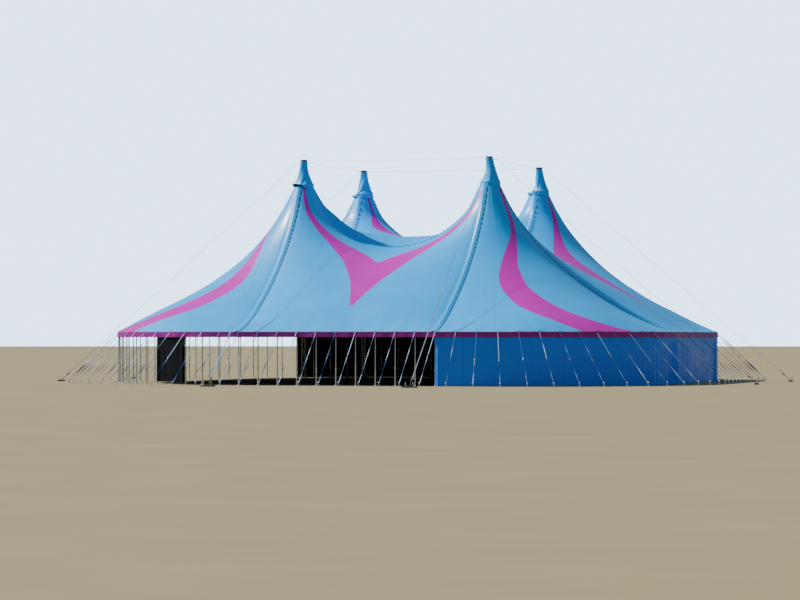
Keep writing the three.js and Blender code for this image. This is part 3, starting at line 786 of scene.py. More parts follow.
def laid(name, light, dark, pitch, rough=0.6, metallic=0.0, slant=1.0):
    """Strands or ribs that run at a slant round a rope, or straight across a strap."""
    graph = Graph(name)
    cut = graph.field("cut", "Vector")
    strands = graph.bands(cut * (slant, 1.0, 0.0), 1.0 / pitch, "DIAGONAL", 0.4)
    soil = graph.ramp(graph.noise(graph.place(), 5.0, 4.0), 0.35, 0.75)
    base = graph.mix(strands, dark, light)
    base = graph.mix(soil * 0.3, base, dark)
    return graph.surface({
        "Base Color": base,
        "Metallic": metallic,
        "Roughness": graph.ramp(soil, 0.0, 1.0, rough, rough + 0.15),
        "Normal": graph.bump(strands, 0.001),
    })


galvanised = metal("galvanised", (0.62, 0.64, 0.66), (0.42, 0.44, 0.46), 0.40, 0.75)
bare_foot = metal("bare_foot", (0.78, 0.78, 0.75), (0.52, 0.50, 0.45), 0.5, 0.3)
dark_steel = metal("dark_steel", (0.045, 0.05, 0.06), (0.13, 0.12, 0.11), 0.42, 0.6)
head_paint = metal("head_paint", (0.09, 0.17, 0.24), (0.05, 0.10, 0.15), 0.5, 0.1)
wire_rope = laid("wire_rope", (0.30, 0.31, 0.33), (0.09, 0.09, 0.10), 0.02, 0.42, 0.7, slant=3.0)
dark_rope = laid("dark_rope", (0.05, 0.06, 0.07), (0.012, 0.014, 0.018), 0.03, 0.75, slant=3.0)
pale_webbing = laid("pale_webbing", (0.46, 0.62, 0.88), (0.28, 0.42, 0.66), 0.012)
grey_webbing = laid("grey_webbing", (0.20, 0.24, 0.31), (0.10, 0.12, 0.17), 0.012)
blue_webbing = laid("blue_webbing", (0.01, 0.17, 0.55), (0.004, 0.07, 0.30), 0.012, 0.55)
azure_webbing = laid("azure_webbing", (0.02, 0.42, 0.92), (0.0, 0.24, 0.70), 0.012, 0.5)
magenta_webbing = laid("magenta_webbing", (0.30, 0.012, 0.22), (0.15, 0.006, 0.11), 0.012, 0.55)

# %% [markdown]
# ## Canopy panels
# The roof is laced together from nine panels: one in the middle, one over each side and one over each corner.
# Each is made as a fine grid over its own plan, lifted to the roof's height, and given a thickness and a dark
# lining, since a single-sided sheet would look blue from inside too.

# %% Canopy panels
CLOTH = 0.005
SEAM_GAP = 0.0012
CORNER_BAY = 0.68  # metres along the eave
RING_STEPS, RIDGE_STEPS, DOWN_STEPS, CORNER_STEPS = 9, 80, 84, 120


def closer_at_ends(count):
    """From -1 to 1, in steps that shrink towards both ends."""
    even = np.linspace(-1, 1, count)
    return 0.5 * even + 0.5 * np.sin(even * math.pi / 2)


def ridge_columns():
    turn = np.linspace(0, math.pi / 2, RING_STEPS, endpoint=False)
    ring_x = -HALF + RING_RADIUS * np.sin(turn)
    ring_out = RING_RADIUS * np.cos(turn)
    x = np.concatenate([ring_x, (HALF - RING_RADIUS) * closer_at_ends(RIDGE_STEPS), -ring_x[::-1]])
    out = np.concatenate([ring_out, np.zeros(RIDGE_STEPS), ring_out[::-1]])
    return x, out


def side_plan():
    x, out = ridge_columns()
    share = np.linspace(0, 1, DOWN_STEPS)[:, None] ** 1.25
    grid_x = np.broadcast_to(x, (DOWN_STEPS, len(x))).copy()
    grid_y = -HALF - out - (CORNER_RADIUS - out) * share
    grid_x[:, 0] += SEAM_GAP
    grid_x[:, -1] -= SEAM_GAP
    grid_y[0, out == 0] -= SEAM_GAP
    return grid_x, grid_y, grid_x


def corner_plan():
    angle = (closer_at_ends(CORNER_STEPS) + 1) * math.pi / 4
    share = np.linspace(0, 1, DOWN_STEPS)[:, None] ** 1.25
    radius = RING_RADIUS + (CORNER_RADIUS - RING_RADIUS) * share
    grid_x = HALF + radius * np.sin(angle)
    grid_y = -HALF - radius * np.cos(angle)
    grid_x[:, 0] += SEAM_GAP
    grid_y[:, -1] -= SEAM_GAP
    bay = SIDE_BAYS + angle / (math.pi / 2) * CORNER_BAYS
    return grid_x, grid_y, np.broadcast_to(bay * CORNER_BAY, grid_x.shape)


def centre_plan():
    x, out = ridge_columns()
    share = -closer_at_ends(RIDGE_STEPS)[:, None]
    grid_x = np.broadcast_to(x, (RIDGE_STEPS, len(x))).copy()
    grid_y = (HALF - out) * share
    grid_x[:, 0] += SEAM_GAP
    grid_x[:, -1] -= SEAM_GAP
    grid_y[0, out == 0] -= SEAM_GAP
    grid_y[-1, out == 0] += SEAM_GAP
    return grid_x, grid_y, grid_x


def canopy_panel(name, plan, band, quarters):
    """A panel from its plan as it lies in front: x, y and the length across the welded strips."""
    grid_x, grid_y, across = plan
    x, y = quarter_turn(grid_x, grid_y, quarters)
    outer = np.stack([x, y, cloth_top(x, y)], -1)
    steps = np.linalg.norm(np.diff(outer, axis=0), axis=2)
    run = np.concatenate([np.zeros((1, x.shape[1])), np.cumsum(steps, 0)])
    fields = {"band": band(grid_x, grid_y), "cut": np.stack([across, run, np.zeros_like(x)], -1)}
    return sheet_piece(name, outer, CLOTH, roof_cloth, roof_lining, "canopy_cloth", fields)


canopy = {"canopy_centre": canopy_panel("canopy_centre", centre_plan(), ridge_band, 0)}
for quarters, (side, corner) in enumerate(zip(SIDES, CORNERS)):
    canopy["canopy_" + side] = canopy_panel("canopy_" + side, side_plan(), wing_band, quarters)
    sweep = sweep_band_mirrored if quarters % 2 else sweep_band
    canopy["canopy_" + corner] = canopy_panel("canopy_" + corner, corner_plan(), sweep, quarters)

# %% [markdown]
# ## Laced seams
# Where two panels meet, rope loops of one panel come through the eyelets of the other and lock into each
# other, and a flap covers them from the weather. The flap is a welt with a sunny and a shady face, and the
# loops beyond its edge are small closed rings of rope. From far away they read as a dashed dark line beside
# each seam. Along the ridges the loops stand up, and on most other seams they lie flat and are pulled
# longer. On the left half of the front ridge the flap has blown up too.

# %% Laced seams
FLAP = [(-0.145, -0.003), (0.026, -0.003), (0.024, 0.002), (-0.062, 0.025), (-0.076, 0.027),
        (-0.088, 0.024), (-0.142, 0.002)]
FLAP_STEP = 0.1
LACE_OUT = 0.042  # the row of loops, from the seam's line
LOOP_PITCH = 0.115
LOOP_LONG, LOOP_WIDE = 0.032, 0.010  # half sizes
LOOP_PULLED = 0.049  # half the length of a loop that lies flat
ROPE_RADIUS = 0.0045
LACED_ON_THE_OTHER_SIDE = ("front_right_to_right", "left_ridge")


def seam_frame(start, end, step):
    """Places along a straight line in plan, and the way across it towards the lace."""
    start, end = np.asarray(start, float), np.asarray(end, float)
    length = np.linalg.norm(end - start)
    ahead = (end - start) / length
    share = np.linspace(0, 1, max(2, int(length / step)))[:, None]
    return start + (end - start) * share, np.array([-ahead[1], ahead[0]])


def blown_up(line):
    """How many times its height the flap has along the left half of the front ridge."""
    x = line[:, 0] / SCALE
    return 1 + 6.0 * np.clip((-0.3 - x) / 2.4, 0, 1) * np.clip((x + 6.2) / 1.4, 0, 1)


def seam_flap(start, end, swollen):
    line, across = seam_frame(start, end, FLAP_STEP)
    flap = np.array(FLAP)
    plan = line[:, None] + flap[None, :, :1] * across
    tall = blown_up(line) if swollen else np.ones(len(line))
    rings = on_cloth(plan[..., 0], plan[..., 1], flap[:, 1] * tall[:, None])
    run = np.repeat(np.arange(len(line)) * FLAP_STEP, len(flap))
    cut = np.stack([np.tile(flap[:, 0], len(line)), run, np.zeros_like(run)], 1)
    piece = Piece()
    piece.add(loft(rings), flap_cloth, {"cut": cut})
    return piece


def seam_lace(start, end, upright, swollen):
    line, across = seam_frame(start, end, LOOP_PITCH)
    if swollen:
        line = line[line[:, 0] > -1.7 * SCALE]  # the blown-up flap hides the rest
    ahead = np.array([across[1], -across[0]])
    piece = Piece()
    turn = np.linspace(0, 2 * math.pi, 10, endpoint=False)
    reach = LOOP_LONG if upright else LOOP_PULLED
    long_way = reach * np.sign(np.cos(turn)) * np.abs(np.cos(turn)) ** 0.7
    wide_way = LOOP_WIDE * np.sin(turn)
    for place in line[1:-1] + LACE_OUT * across:
        plan = place + long_way[:, None] * ahead + (0 if upright else 1) * wide_way[:, None] * across
        lift = 0.005 + (LOOP_WIDE + wide_way if upright else 0.0)
        piece.add(ring_along(on_cloth(plan[:, 0], plan[:, 1], lift), ROPE_RADIUS, 5), dark_rope)
    return piece


seam_parts = {name: [] for name in canopy}
EDGE = CORNER_RADIUS - 0.004
for quarters, (side, corner) in enumerate(zip(SIDES, CORNERS)):
    following = SIDES[(quarters + 1) % 4]
    lines = {
        f"{side}_to_{corner}": ((HALF, -HALF - RING_RADIUS), (HALF, -HALF - EDGE), "canopy_" + side),
        f"{corner}_to_{following}": ((HALF + RING_RADIUS, -HALF), (HALF + EDGE, -HALF), "canopy_" + corner),
        f"{side}_ridge": ((HALF - RING_RADIUS, -HALF), (-HALF + RING_RADIUS, -HALF), "canopy_centre"),
    }
    for name, (start, end, carrier) in lines.items():
        start, end = quarter_turn(*start, quarters), quarter_turn(*end, quarters)
        if name in LACED_ON_THE_OTHER_SIDE:
            start, end = end, start
        flap = seam_flap(start, end, name == "front_ridge")
        upright = name.endswith("ridge") or name in LACED_ON_THE_OTHER_SIDE
        lace = seam_lace(start, end, upright, name == "front_ridge")
        flap = flap.make("seam_flap_" + name, "canopy_cloth", crease=12.0)
        lace = lace.make("seam_lace_" + name, "canopy_cloth")
        seam_parts[carrier] += [flap, lace]
print("seams made:", sum(len(parts) for parts in seam_parts.values()) // 2)

# %% [markdown]
# ## Valances
# The valance is a loose magenta band under the edge of the roof. It is stitched along its top and its hem,
# and it swings a little from bay to bay, so it is a grid whose lower rows lean in and out by a seeded sum
# of waves.

# %% Valances
VALANCE_TOP = EAVE - 0.0133
VALANCE_DROP = 0.166
HUNG_THICK = 0.004
BAY = 2 * HALF / SIDE_BAYS
WHOLE_TURN = 4 * TURN_BAYS  # bays round the tent, added so that no number is below 0


def slow_waves(along_line, seed, waves, count=5):
    """A smooth uneven line between about -1 and 1, for lengths along it and the range of its waves."""
    pick = np.random.default_rng(seed)
    total = np.zeros_like(along_line)
    for step in range(count):
        length = waves[0] + (waves[1] - waves[0]) * pick.random()
        total += np.sin(2 * math.pi * (along_line / length + pick.random())) / count
    return total * 1.5


def eave_length(number):
    """Metres along the eave up to a bay number."""
    number = np.asarray(number, float)
    quarters = np.floor(number / TURN_BAYS)
    bay = number - quarters * TURN_BAYS
    side, corner = 2 * HALF, CORNER_RADIUS * math.pi / 2
    on_side = np.minimum(bay, SIDE_BAYS) / SIDE_BAYS * side
    on_corner = np.maximum(0, bay - SIDE_BAYS) / CORNER_BAYS * corner
    return quarters * (side + corner) + on_side + on_corner


def hanging_sheet(first, last, columns_a_bay, heights, inset_at):
    """A grid of points under the eave, and where each lies on the cloth as cut. inset_at gives how far a
    point is inside the eave, from the length along it and the height."""
    numbers = np.linspace(first, last, int(round((last - first) * columns_a_bay)) + 1)
    heights = np.asarray(heights, float)[:, None]
    run = np.broadcast_to(eave_length(numbers), (len(heights), len(numbers)))
    level = np.broadcast_to(heights, run.shape)
    place = eave(np.broadcast_to(numbers, run.shape), inset_at(run, level))[0]
    outer = np.concatenate([place, level[..., None]], -1)
    return outer, np.stack([run, level, np.zeros_like(run)], -1)


def valance_inset(run, level):
    low = (VALANCE_TOP - level) / VALANCE_DROP
    sway = (slow_waves(run, 3, (0.5, 1.6)) - 0.5) * 0.024 * low**1.3
    ripple = slow_waves(run, 4, (0.16, 0.4)) * 0.005 * low
    hem = -0.0016 * (np.abs(low - 0.93) < 0.045) - 0.002 * (low < 0.1)
    return np.minimum(0.001 - 0.005 * np.sin(low * math.pi * 0.85) + sway + ripple, 0.007) + hem


VALANCE_SHARES = [0, 0.05, 0.1, 0.11, 0.3, 0.5, 0.7, 0.88, 0.885, 0.975, 0.98, 1]  # of its drop
VALANCE_ROWS = VALANCE_TOP - VALANCE_DROP * np.array(VALANCE_SHARES)
for quarters, side in enumerate(SIDES):
    first = quarters * TURN_BAYS - CORNER_BAYS / 2 + 0.001 + WHOLE_TURN
    last = quarters * TURN_BAYS + SIDE_BAYS + CORNER_BAYS / 2 - 0.001 + WHOLE_TURN
    outer, cut = hanging_sheet(first, last, 12, VALANCE_ROWS, valance_inset)
    made = sheet_piece("valance_" + side, outer, HUNG_THICK, valance_cloth, valance_cloth, "valance_cloth",
                       {"cut": cut})

# %% [markdown]
# ## Walls
# The walls hang from a rope behind the valance and touch the ground. They are straight at the rope and fall
# into uneven upright folds below it, deeper where the cloth was pushed together. Their outside is blue and
# their inside black. Each length overlaps the next by a hand, which shows as a step and a thin shadow.

# %% Walls
WALL_INSET = 0.013
WALL_TOP = EAVE - 0.045
TOP_HEM = 1.66  # the top hem reaches down to this height
FOLDS_BELOW = 1.58
LAP_BAYS = 4.0
RIGHT, BACK = TURN_BAYS, 2 * TURN_BAYS
WALLS = {
    "front_right": (SIDE_BAYS, RIGHT),
    "right": (RIGHT, RIGHT + SIDE_BAYS),
    "back_right": (RIGHT + SIDE_BAYS, BACK),
    "back": (BACK, BACK + SIDE_BAYS),
    "back_left": (BACK + SIDE_BAYS, 67),
    "front_left": (95, 97),
}


def wall_folds(start, end):
    """The inset of a wall that runs between two lengths along the eave."""

    def inset(run, level):
        low = np.clip((FOLDS_BELOW - level) / FOLDS_BELOW, 0, 1)
        bunched = bell(run, eave_length(RIGHT), 2.6)
        calm = slow_waves(run, 11, (0.5, 1.8)) * 0.010 + slow_waves(run, 12, (0.2, 0.5)) * 0.004
        full = slow_waves(run, 13, (0.16, 0.34), 4) * 0.042
        lean = 0.12 * slow_waves(level, 14, (1.5, 3.0))
        drift = slow_waves(run + lean, 15, (0.3, 0.9)) * 0.006
        folds = (calm + drift) * low**0.6 + full * bunched * low**0.4
        folds = np.maximum(folds, -0.003)
        lap = run / (LAP_BAYS * BAY) % 1.0
        step = 0.006 * np.clip(1 - lap / 0.03, 0, 1) * np.clip(low * 8, 0, 1)
        reach = np.minimum(run - start, end - run)
        end_folds = 0.050 * bell(reach, 0.10, 0.055) + 0.018 * bell(reach, 0.36, 0.035)
        end_folds = end_folds * np.clip(low * 4, 0, 1)
        hem = 0.0015 * ((level < 0.05) | (level > TOP_HEM))
        return WALL_INSET - folds - step - end_folds - hem

    return inset


for name, (first, last) in WALLS.items():
    first, last = first + 0.003, last - 0.003
    door = name == "front_left"
    base = 0.1 if door else 0.003
    heights = [WALL_TOP, TOP_HEM + 0.005, TOP_HEM - 0.005, *np.linspace(FOLDS_BELOW, base + 0.06, 12),
               base + 0.045, base + 0.02, base]
    inset = wall_folds(float(eave_length(first)), float(eave_length(last)))
    outer, cut = hanging_sheet(first, last, 14, heights, inset)
    made = sheet_piece("wall_" + name, outer, HUNG_THICK, wall_lining if door else wall_cloth, wall_lining,
                       "door_cloth" if door else "wall_cloth", {"cut": cut})

# %% [markdown]
# ## Side poles
# A side pole is two galvanised tubes, one sliding in the other, with a pin through a collar, a plate for a
# foot and a spike that goes through an eyelet in the roof. It is turned as one profile, because its parts
# share an axis. The rope that the walls hang on runs from eye to eye on the poles.

# %% Side poles
POLE_INSET = 0.0437
POLE_RADIUS = 0.0225
ROPE_LEVEL = EAVE - 0.1


def out_frame(number, inset=0.0):
    """A place on the ground under the eave, the way out there and the way along."""
    place, way = eave(number, inset)
    return np.array([*place, 0.0]), np.array([*way, 0.0]), np.array([-way[1], way[0], 0.0])


def side_pole(piece, number):
    ground = out_frame(number, POLE_INSET)
    origin, out, aside = ground
    under = float(cloth_top(origin[0], origin[1])) - 0.013
    joint = 0.56 + 0.05 * math.sin(number * 2.4)
    lower = [(0.0222, 0.012), (POLE_RADIUS, 0.02), (POLE_RADIUS, joint)]
    upper = [(0.0190, joint + 0.03), (0.0190, under - 0.012), (0.0165, under - 0.008), (0.0165, under)]
    collar = [(0.0235, joint - 0.02), (0.0275, joint - 0.016), (0.0275, joint + 0.030),
              (0.0215, joint + 0.036)]
    washer = [(0.020, under + 0.012), (0.020, under + 0.017), (0.008, under + 0.020)]
    for profile in (lower, upper, collar, washer):
        piece.put(turned(profile, 12), ground, galvanised)
    spike = [(0.006, under - 0.004), (0.006, under + 0.045), (0.002, under + 0.062)]
    piece.put(turned(spike, 8), ground, galvanised)
    piece.put(block((-0.045, -0.045, 0.0), (0.045, 0.045, 0.010), 0.003), ground, bare_foot)
    socket = [(0.030, 0.008), (0.030, 0.014), (0.0255, 0.030), (0.0230, 0.031)]
    piece.put(turned(socket, 12), ground, bare_foot)
    pin = bar((-0.036, 0, joint + 0.006), (0.036, 0, joint + 0.006), 0.005, 6)
    piece.put(pin, (origin, aside, -out), galvanised)
    points, faces = hoop(0.009, 0.0025, 10, 5)
    eye = points[:, [0, 2, 1]], [face[::-1] for face in faces]
    for turn in (-1, 1):
        piece.put(eye, (origin + aside * turn * 0.029 + ROPE_LEVEL * UP, aside, -out), galvanised)


def wall_rope(piece, number):
    """One bay of the rope, from an eye to the next, a little slack."""
    share = np.linspace(0.035, 0.965, 9)[:, None]
    start, end = eave(np.array([number, number + 1.0]), POLE_INSET)[0]
    sag = 0.010 * 4 * share * (1 - share)
    path = np.concatenate([start + (end - start) * share, ROPE_LEVEL - sag], 1)
    piece.sweep(path, circle(0.006, 6), dark_rope)


POLE_ROWS = {}
for quarters, (side, corner) in enumerate(zip(SIDES, CORNERS)):
    start = quarters * TURN_BAYS
    POLE_ROWS[side] = range(start, start + SIDE_BAYS + 1)
    POLE_ROWS[corner] = range(start + SIDE_BAYS + 1, start + TURN_BAYS)
for name, numbers in POLE_ROWS.items():
    piece = Piece()
    for number in numbers:
        side_pole(piece, number)
        wall_rope(piece, number)
    piece.make(f"side_poles_{name}_steel", "pole_steel", ["side_poles_" + name])
print("side poles:", sum(len(numbers) for numbers in POLE_ROWS.values()))

# %% [markdown]
# ## Strap guys
# From every side pole a webbing strap runs out to a stake. A ratchet joins its two lengths, the upper one
# mostly pale and the lower one mostly blue, and the flat webbing takes half a twist on its way, which
# flickers light and dark. All the straps start at D-rings on a webbing that is sewn along the eave.

# %% Strap guys
STRAP_HEAD = EAVE - 0.016
STAKE_OUT = 1.7
STAKE_TIE = 0.112  # height of the strap's loop round the stake
RATCHET_AT = 0.5  # as a share of the way down


def ratchet(piece, place):
    piece.put(block((-0.040, -0.014, -0.005), (0.040, 0.014, 0.009), 0.003), place, galvanised)
    piece.put(block((-0.046, -0.011, 0.011), (0.012, 0.011, 0.016), 0.002), place, dark_steel)
    piece.put(bar((0, -0.019, 0.004), (0, 0.019, 0.004), 0.006), place, galvanised)


def stake(piece, place, webbing):
    """A stake with a bare head, and the strap's loop round it."""
    piece.put(turned([(0.0125, 0.0), (0.0125, 0.126)], 8), place, galvanised)
    head = [(0.024, 0.128), (0.026, 0.139), (0.019, 0.150), (0.006, 0.154)]
    piece.put(turned(head, 8), place, bare_foot)
    piece.put(hoop(0.0150, 0.003, 12, 5, (0, 0, STAKE_TIE)), place, webbing)


def strap_guy(piece, number, pick):
    origin, out, aside = out_frame(number)
    head = origin + 0.012 * out + (STRAP_HEAD - 0.006) * UP
    foot = origin + (STAKE_OUT - 0.012) * out + STAKE_TIE * UP
    meet = RATCHET_AT + 0.10 * (pick.random() - 0.5)
    ahead = (foot - head) / np.linalg.norm(foot - head)
    square = np.cross(ahead, aside)
    section = flat_outline(0.021, 0.0026)
    upper = pale_webbing if pick.random() < 0.6 else blue_webbing
    lower = blue_webbing if pick.random() < 0.6 else pale_webbing
    twisted = pick.random() < 0.5
    for low, high, webbing, twist in ((0.0, meet, upper, twisted), (meet + 0.02, 1.0, lower, True)):
        share = np.linspace(0, 1, 11)[:, None]
        path = head + (foot - head) * (low + (high - low) * share)
        angle = math.pi * twist * (3 * share**2 - 2 * share**3)
        piece.sweep(path, section, webbing, up=np.cos(angle) * square + np.sin(angle) * aside)
    ratchet(piece, (head + (foot - head) * (meet + 0.01), ahead, aside))
    ring = ring_along(np.pad(circle(0.016, 10), ((0, 0), (0, 1))), 0.0028, 5)
    piece.put(ring, (head - 0.004 * ahead, ahead, aside), galvanised)
    stake(piece, (origin + STAKE_OUT * out, out, aside), lower)


for name, numbers in POLE_ROWS.items():
    piece = Piece()
    pick = np.random.default_rng(21 + numbers[0])
    for number in numbers:
        strap_guy(piece, number, pick)
    stations = np.arange(numbers[0] - 0.499, numbers[-1] + 0.4999, 0.249875)
    place = eave(stations + WHOLE_TURN, -0.0034)[0]
    path = np.concatenate([place, np.full((len(place), 1), EAVE - 0.01625)], 1)
    upright = flat_outline(0.0225, 0.005) @ np.array([[0.0, 1.0], [-1.0, 0.0]])
    piece.sweep(path, upright, magenta_webbing)
    piece.make(f"strap_guys_{name}_webbing", "strap_webbing", ["strap_guys_" + name])

# %% [markdown]
# ## Main guys
# Two heavy guys hold each king pole. A wire rope comes down from the head, a hook takes it to a webbing
# hoist, and the hoist ends at a beam that is nailed to the ground with steel pins. The hoist of the front
# left pole's guy towards the front is bright blue and the others are grey. The parts lie on one straight
# line, so the line is worked out first and each part is set on it by its share of the way.

# %% Main guys
HEAD_APOTHEM = 0.1175
CABLE_LEVEL = HEAD_TOP - HEAD_THICK / 2
ANCHOR_OUT = 9.25
HOIST_SHARE = 0.4
SHACKLE = 0.02  # half its width


def shackle(piece, place, finish):
    """A bow of round bar closed by a pin."""
    turn = np.linspace(-0.35 * math.pi, 1.35 * math.pi, 11)
    bow = np.stack([SHACKLE * np.sin(turn), SHACKLE * 0.8 * np.cos(turn), np.zeros_like(turn)], 1)
    piece.put(loft(along(bow, circle(SHACKLE * 0.18, 6))), place, finish)
    low = bow[0, 0]
    piece.put(bar((low, -SHACKLE, 0), (low, SHACKLE, 0), SHACKLE * 0.2), place, finish)


def hoist(piece, hook, end, ahead, aside, webbing):
    """A hook, two straps side by side, and a drum with its handle and a bar to the anchor."""
    hook_body = block((-0.03, -0.016, -0.010), (0.045, 0.016, 0.010), 0.004)
    piece.put(hook_body, (hook, ahead, aside), galvanised)
    straps = hook + (end - hook) * np.linspace(0.018, 0.93, 30)[:, None]
    for offset in (-0.011, 0.011):
        piece.sweep(straps + offset * aside, flat_outline(0.018, 0.004), webbing, up=np.cross(ahead, aside))
    drum = hook + (end - hook) * 0.93
    place = (drum, ahead, aside)
    piece.put(block((-0.06, -0.030, -0.016), (0.06, 0.030, 0.016), 0.006), place, dark_steel)
    piece.put(bar((0, -0.045, 0), (0, 0.045, 0), 0.012, 10), place, wire_rope)
    piece.put(bar((0.0, 0.038, 0), (-0.22, 0.038, 0.05), 0.007), place, dark_steel)
    piece.add(bar(drum + 0.06 * ahead, end - 0.02 * ahead, 0.009), dark_steel)


def anchor(piece, beam, out, aside):
    """A beam of two bars on a plate, with its pins."""
    place = (beam, out, aside)
    for low, high in ((-0.035, -0.012), (0.012, 0.035)):
        piece.put(block((low, -0.25, 0.008), (high, 0.25, 0.05), 0.003), place, dark_steel)
    piece.put(block((-0.05, -0.25, 0.0), (0.05, 0.25, 0.009), 0.003), place, dark_steel)
    pin = turned([(0.011, 0.0), (0.011, 0.160), (0.021, 0.162), (0.021, 0.170), (0.012, 0.175)], 10)
    for across in (-0.125, 0.125):
        piece.put(pin, (beam + 0.025 * out + across * aside, out, aside), galvanised)


def main_guy(name, quarters, straight_on):
    turn = (quarters if straight_on else quarters - 1) * math.pi / 2
    out = np.array([math.cos(turn), math.sin(turn), 0.0])
    aside = np.array([-out[1], out[0], 0.0])
    pole = np.array([*quarter_turn(HALF, -HALF, quarters), 0.0])
    start = pole + (HEAD_APOTHEM + 0.02) * out + CABLE_LEVEL * UP
    end = pole + ANCHOR_OUT * out + 0.04 * UP
    hook = end + (start - end) * HOIST_SHARE
    ahead = (end - start) / np.linalg.norm(end - start)
    piece = Piece()
    shackle(piece, (start, ahead, aside), dark_steel)
    wire = np.linspace(0.0035, 0.985, 40)[:, None]
    piece.sweep(start + (hook - start) * wire, circle(0.0055, 8), wire_rope)
    for share in (0.006, 0.975):
        clamp = (start + (hook - start) * share, ahead, aside)
        piece.put(bar((-0.03, 0, 0), (0.03, 0, 0), 0.0085), clamp, galvanised)
    shackle(piece, (hook - 0.035 * ahead, ahead, aside), galvanised)
    webbing = azure_webbing if name == "front_left_to_front" else grey_webbing
    hoist(piece, hook, end, ahead, aside, webbing)
    anchor(piece, pole + ANCHOR_OUT * out, out, aside)
    piece.make(f"main_guy_{name}_rig", "cable_steel", ["main_guy_" + name])


for quarters, corner in enumerate(CORNERS):
    near, far = corner.split("_")
    sides = (near, far) if quarters % 2 else (far, near)
    main_guy(f"{corner}_to_{sides[0]}", quarters, True)
    main_guy(f"{corner}_to_{sides[1]}", quarters, False)

# %% [markdown]
# ## Head cables
# Level wire ropes tie the four heads together. Each ends in a shackle, with a turnbuckle near one end to
# take up its slack, and it hangs in a very slight curve.

# %% Head cables
for quarters, side in enumerate(SIDES):
    reach = HALF - HEAD_APOTHEM - 0.02
    share = np.linspace(-1, 1, 41)
    x, y = quarter_turn(reach * share, np.full(41, -HALF), quarters)
    path = np.stack([x, y, CABLE_LEVEL - 0.03 * (1 - share**2)], 1)
    ahead = (path[-1] - path[0]) / np.linalg.norm(path[-1] - path[0])
    piece = Piece()
    piece.sweep(path, circle(0.005, 8), wire_rope)
    for end, way in ((path[0], -ahead), (path[-1], ahead)):
        shackle(piece, (end + 0.004 * way, way, np.cross(UP, way)), dark_steel)
    turnbuckle = (path[2], ahead, np.cross(UP, ahead))
    for offset in (-0.012, 0.012):
        piece.put(bar((-0.06, offset, 0), (0.06, offset, 0), 0.004, 6), turnbuckle, dark_steel)
    for offset in (-0.06, 0.06):
        piece.put(bar((offset, -0.018, 0), (offset, 0.018, 0), 0.007), turnbuckle, dark_steel)
    piece.make(f"head_cable_{side}_rope", "cable_steel", ["head_cable_" + side])

# %% [markdown]
# ## King poles
# A king pole is a lattice mast: four tubes braced by rungs and diagonals on each face. A carriage slides on
# it and carries the ring that the roof is laced to, hauled up by two falls of chain from the head. The
# lattice is a loop over levels, and every bar is a plain round one.

# %% King poles
CHORD_AT = 0.0575
CHORD_RADIUS = 0.0125
RING_LEVEL = 6.827
RING_OUT = 0.286
LATTICE_STEP = 0.24


def lattice(piece):
    corners = [(-CHORD_AT, -CHORD_AT), (CHORD_AT, -CHORD_AT), (CHORD_AT, CHORD_AT), (-CHORD_AT, CHORD_AT)]
    bottom, top = 0.02, HEAD_TOP - HEAD_THICK + 0.01
    for corner in corners:
        piece.add(turned([(CHORD_RADIUS, bottom), (CHORD_RADIUS, top)], 10, (*corner, 0)), galvanised)
    levels = np.linspace(0.10, top - 0.06, int((top - 0.16) / LATTICE_STEP) + 1)
    for step, level in enumerate(levels):
        for first, second in zip(corners, corners[1:] + corners[:1]):
            piece.add(bar((*first, level), (*second, level), 0.007, 6), galvanised)
            if step + 1 < len(levels):
                low, high = (first, second) if step % 2 else (second, first)
                piece.add(bar((*low, level), (*high, levels[step + 1]), 0.006, 6), galvanised)


def mast_foot(piece):
    piece.add(block((-0.225, -0.225, 0.0), (0.225, 0.225, 0.022), 0.004), dark_steel)
    piece.add(block((-0.095, -0.095, 0.02), (0.095, 0.095, 0.034), 0.003), dark_steel)
    rib = [(0.095, 0.11), (0.215, 0.03), (0.215, 0.02), (0.095, 0.02)]
    faces_of_rib = np.array([[(x, y, z) for x, z in rib] for y in (-0.005, 0.005)])
    piece.add_four(loft(faces_of_rib), dark_steel)
    piece.add_four(block((0.07, -0.06, 0.02), (0.097, 0.06, 0.11), 0.003), dark_steel)
    piece.add_four(turned([(0.014, 0.02), (0.014, 0.034), (0.008, 0.04)], 6, (0.18, 0.18, 0)), galvanised)


def ring_and_carriage(piece):
    lower, upper = (RING_OUT, RING_LEVEL - 0.026), (RING_OUT - 0.006, RING_LEVEL + 0.026)
    for radius, level in (lower, upper):
        piece.add(hoop(radius, 0.0115, 40, 8, (0, 0, level)), galvanised)
    for turn in np.linspace(0, 2 * math.pi, 16, endpoint=False):
        start, end = [(r * math.cos(turn), r * math.sin(turn), level) for r, level in (lower, upper)]
        piece.add(bar(start, end, 0.006, 6), galvanised)
    for level in (RING_LEVEL - 0.012, RING_LEVEL + 0.012):
        piece.add_four(bar((0.075, 0, level), (RING_OUT, 0, level), 0.009), galvanised)
    side = block((0.078, -0.087, RING_LEVEL - 0.05), (0.090, 0.087, RING_LEVEL + 0.05), 0.002)
    piece.add_four(side, dark_steel)
    roller = bar((0.083, -0.05, RING_LEVEL + 0.062), (0.083, 0.05, RING_LEVEL + 0.062), 0.012, 10)
    piece.add_four(roller, galvanised)


def chain_fall(piece, x, low, high):
    """A chain drawn as two round bars twisted round each other."""
    levels = np.arange(low, high, 0.03)
    for phase in (0, math.pi):
        turn = levels / 0.06 * math.pi + phase
        path = np.stack([x + 0.005 * np.cos(turn), 0.005 * np.sin(turn), levels], 1)
        piece.sweep(path, circle(0.0035, 5), dark_steel, up=(1.0, 0.0, 0.0))


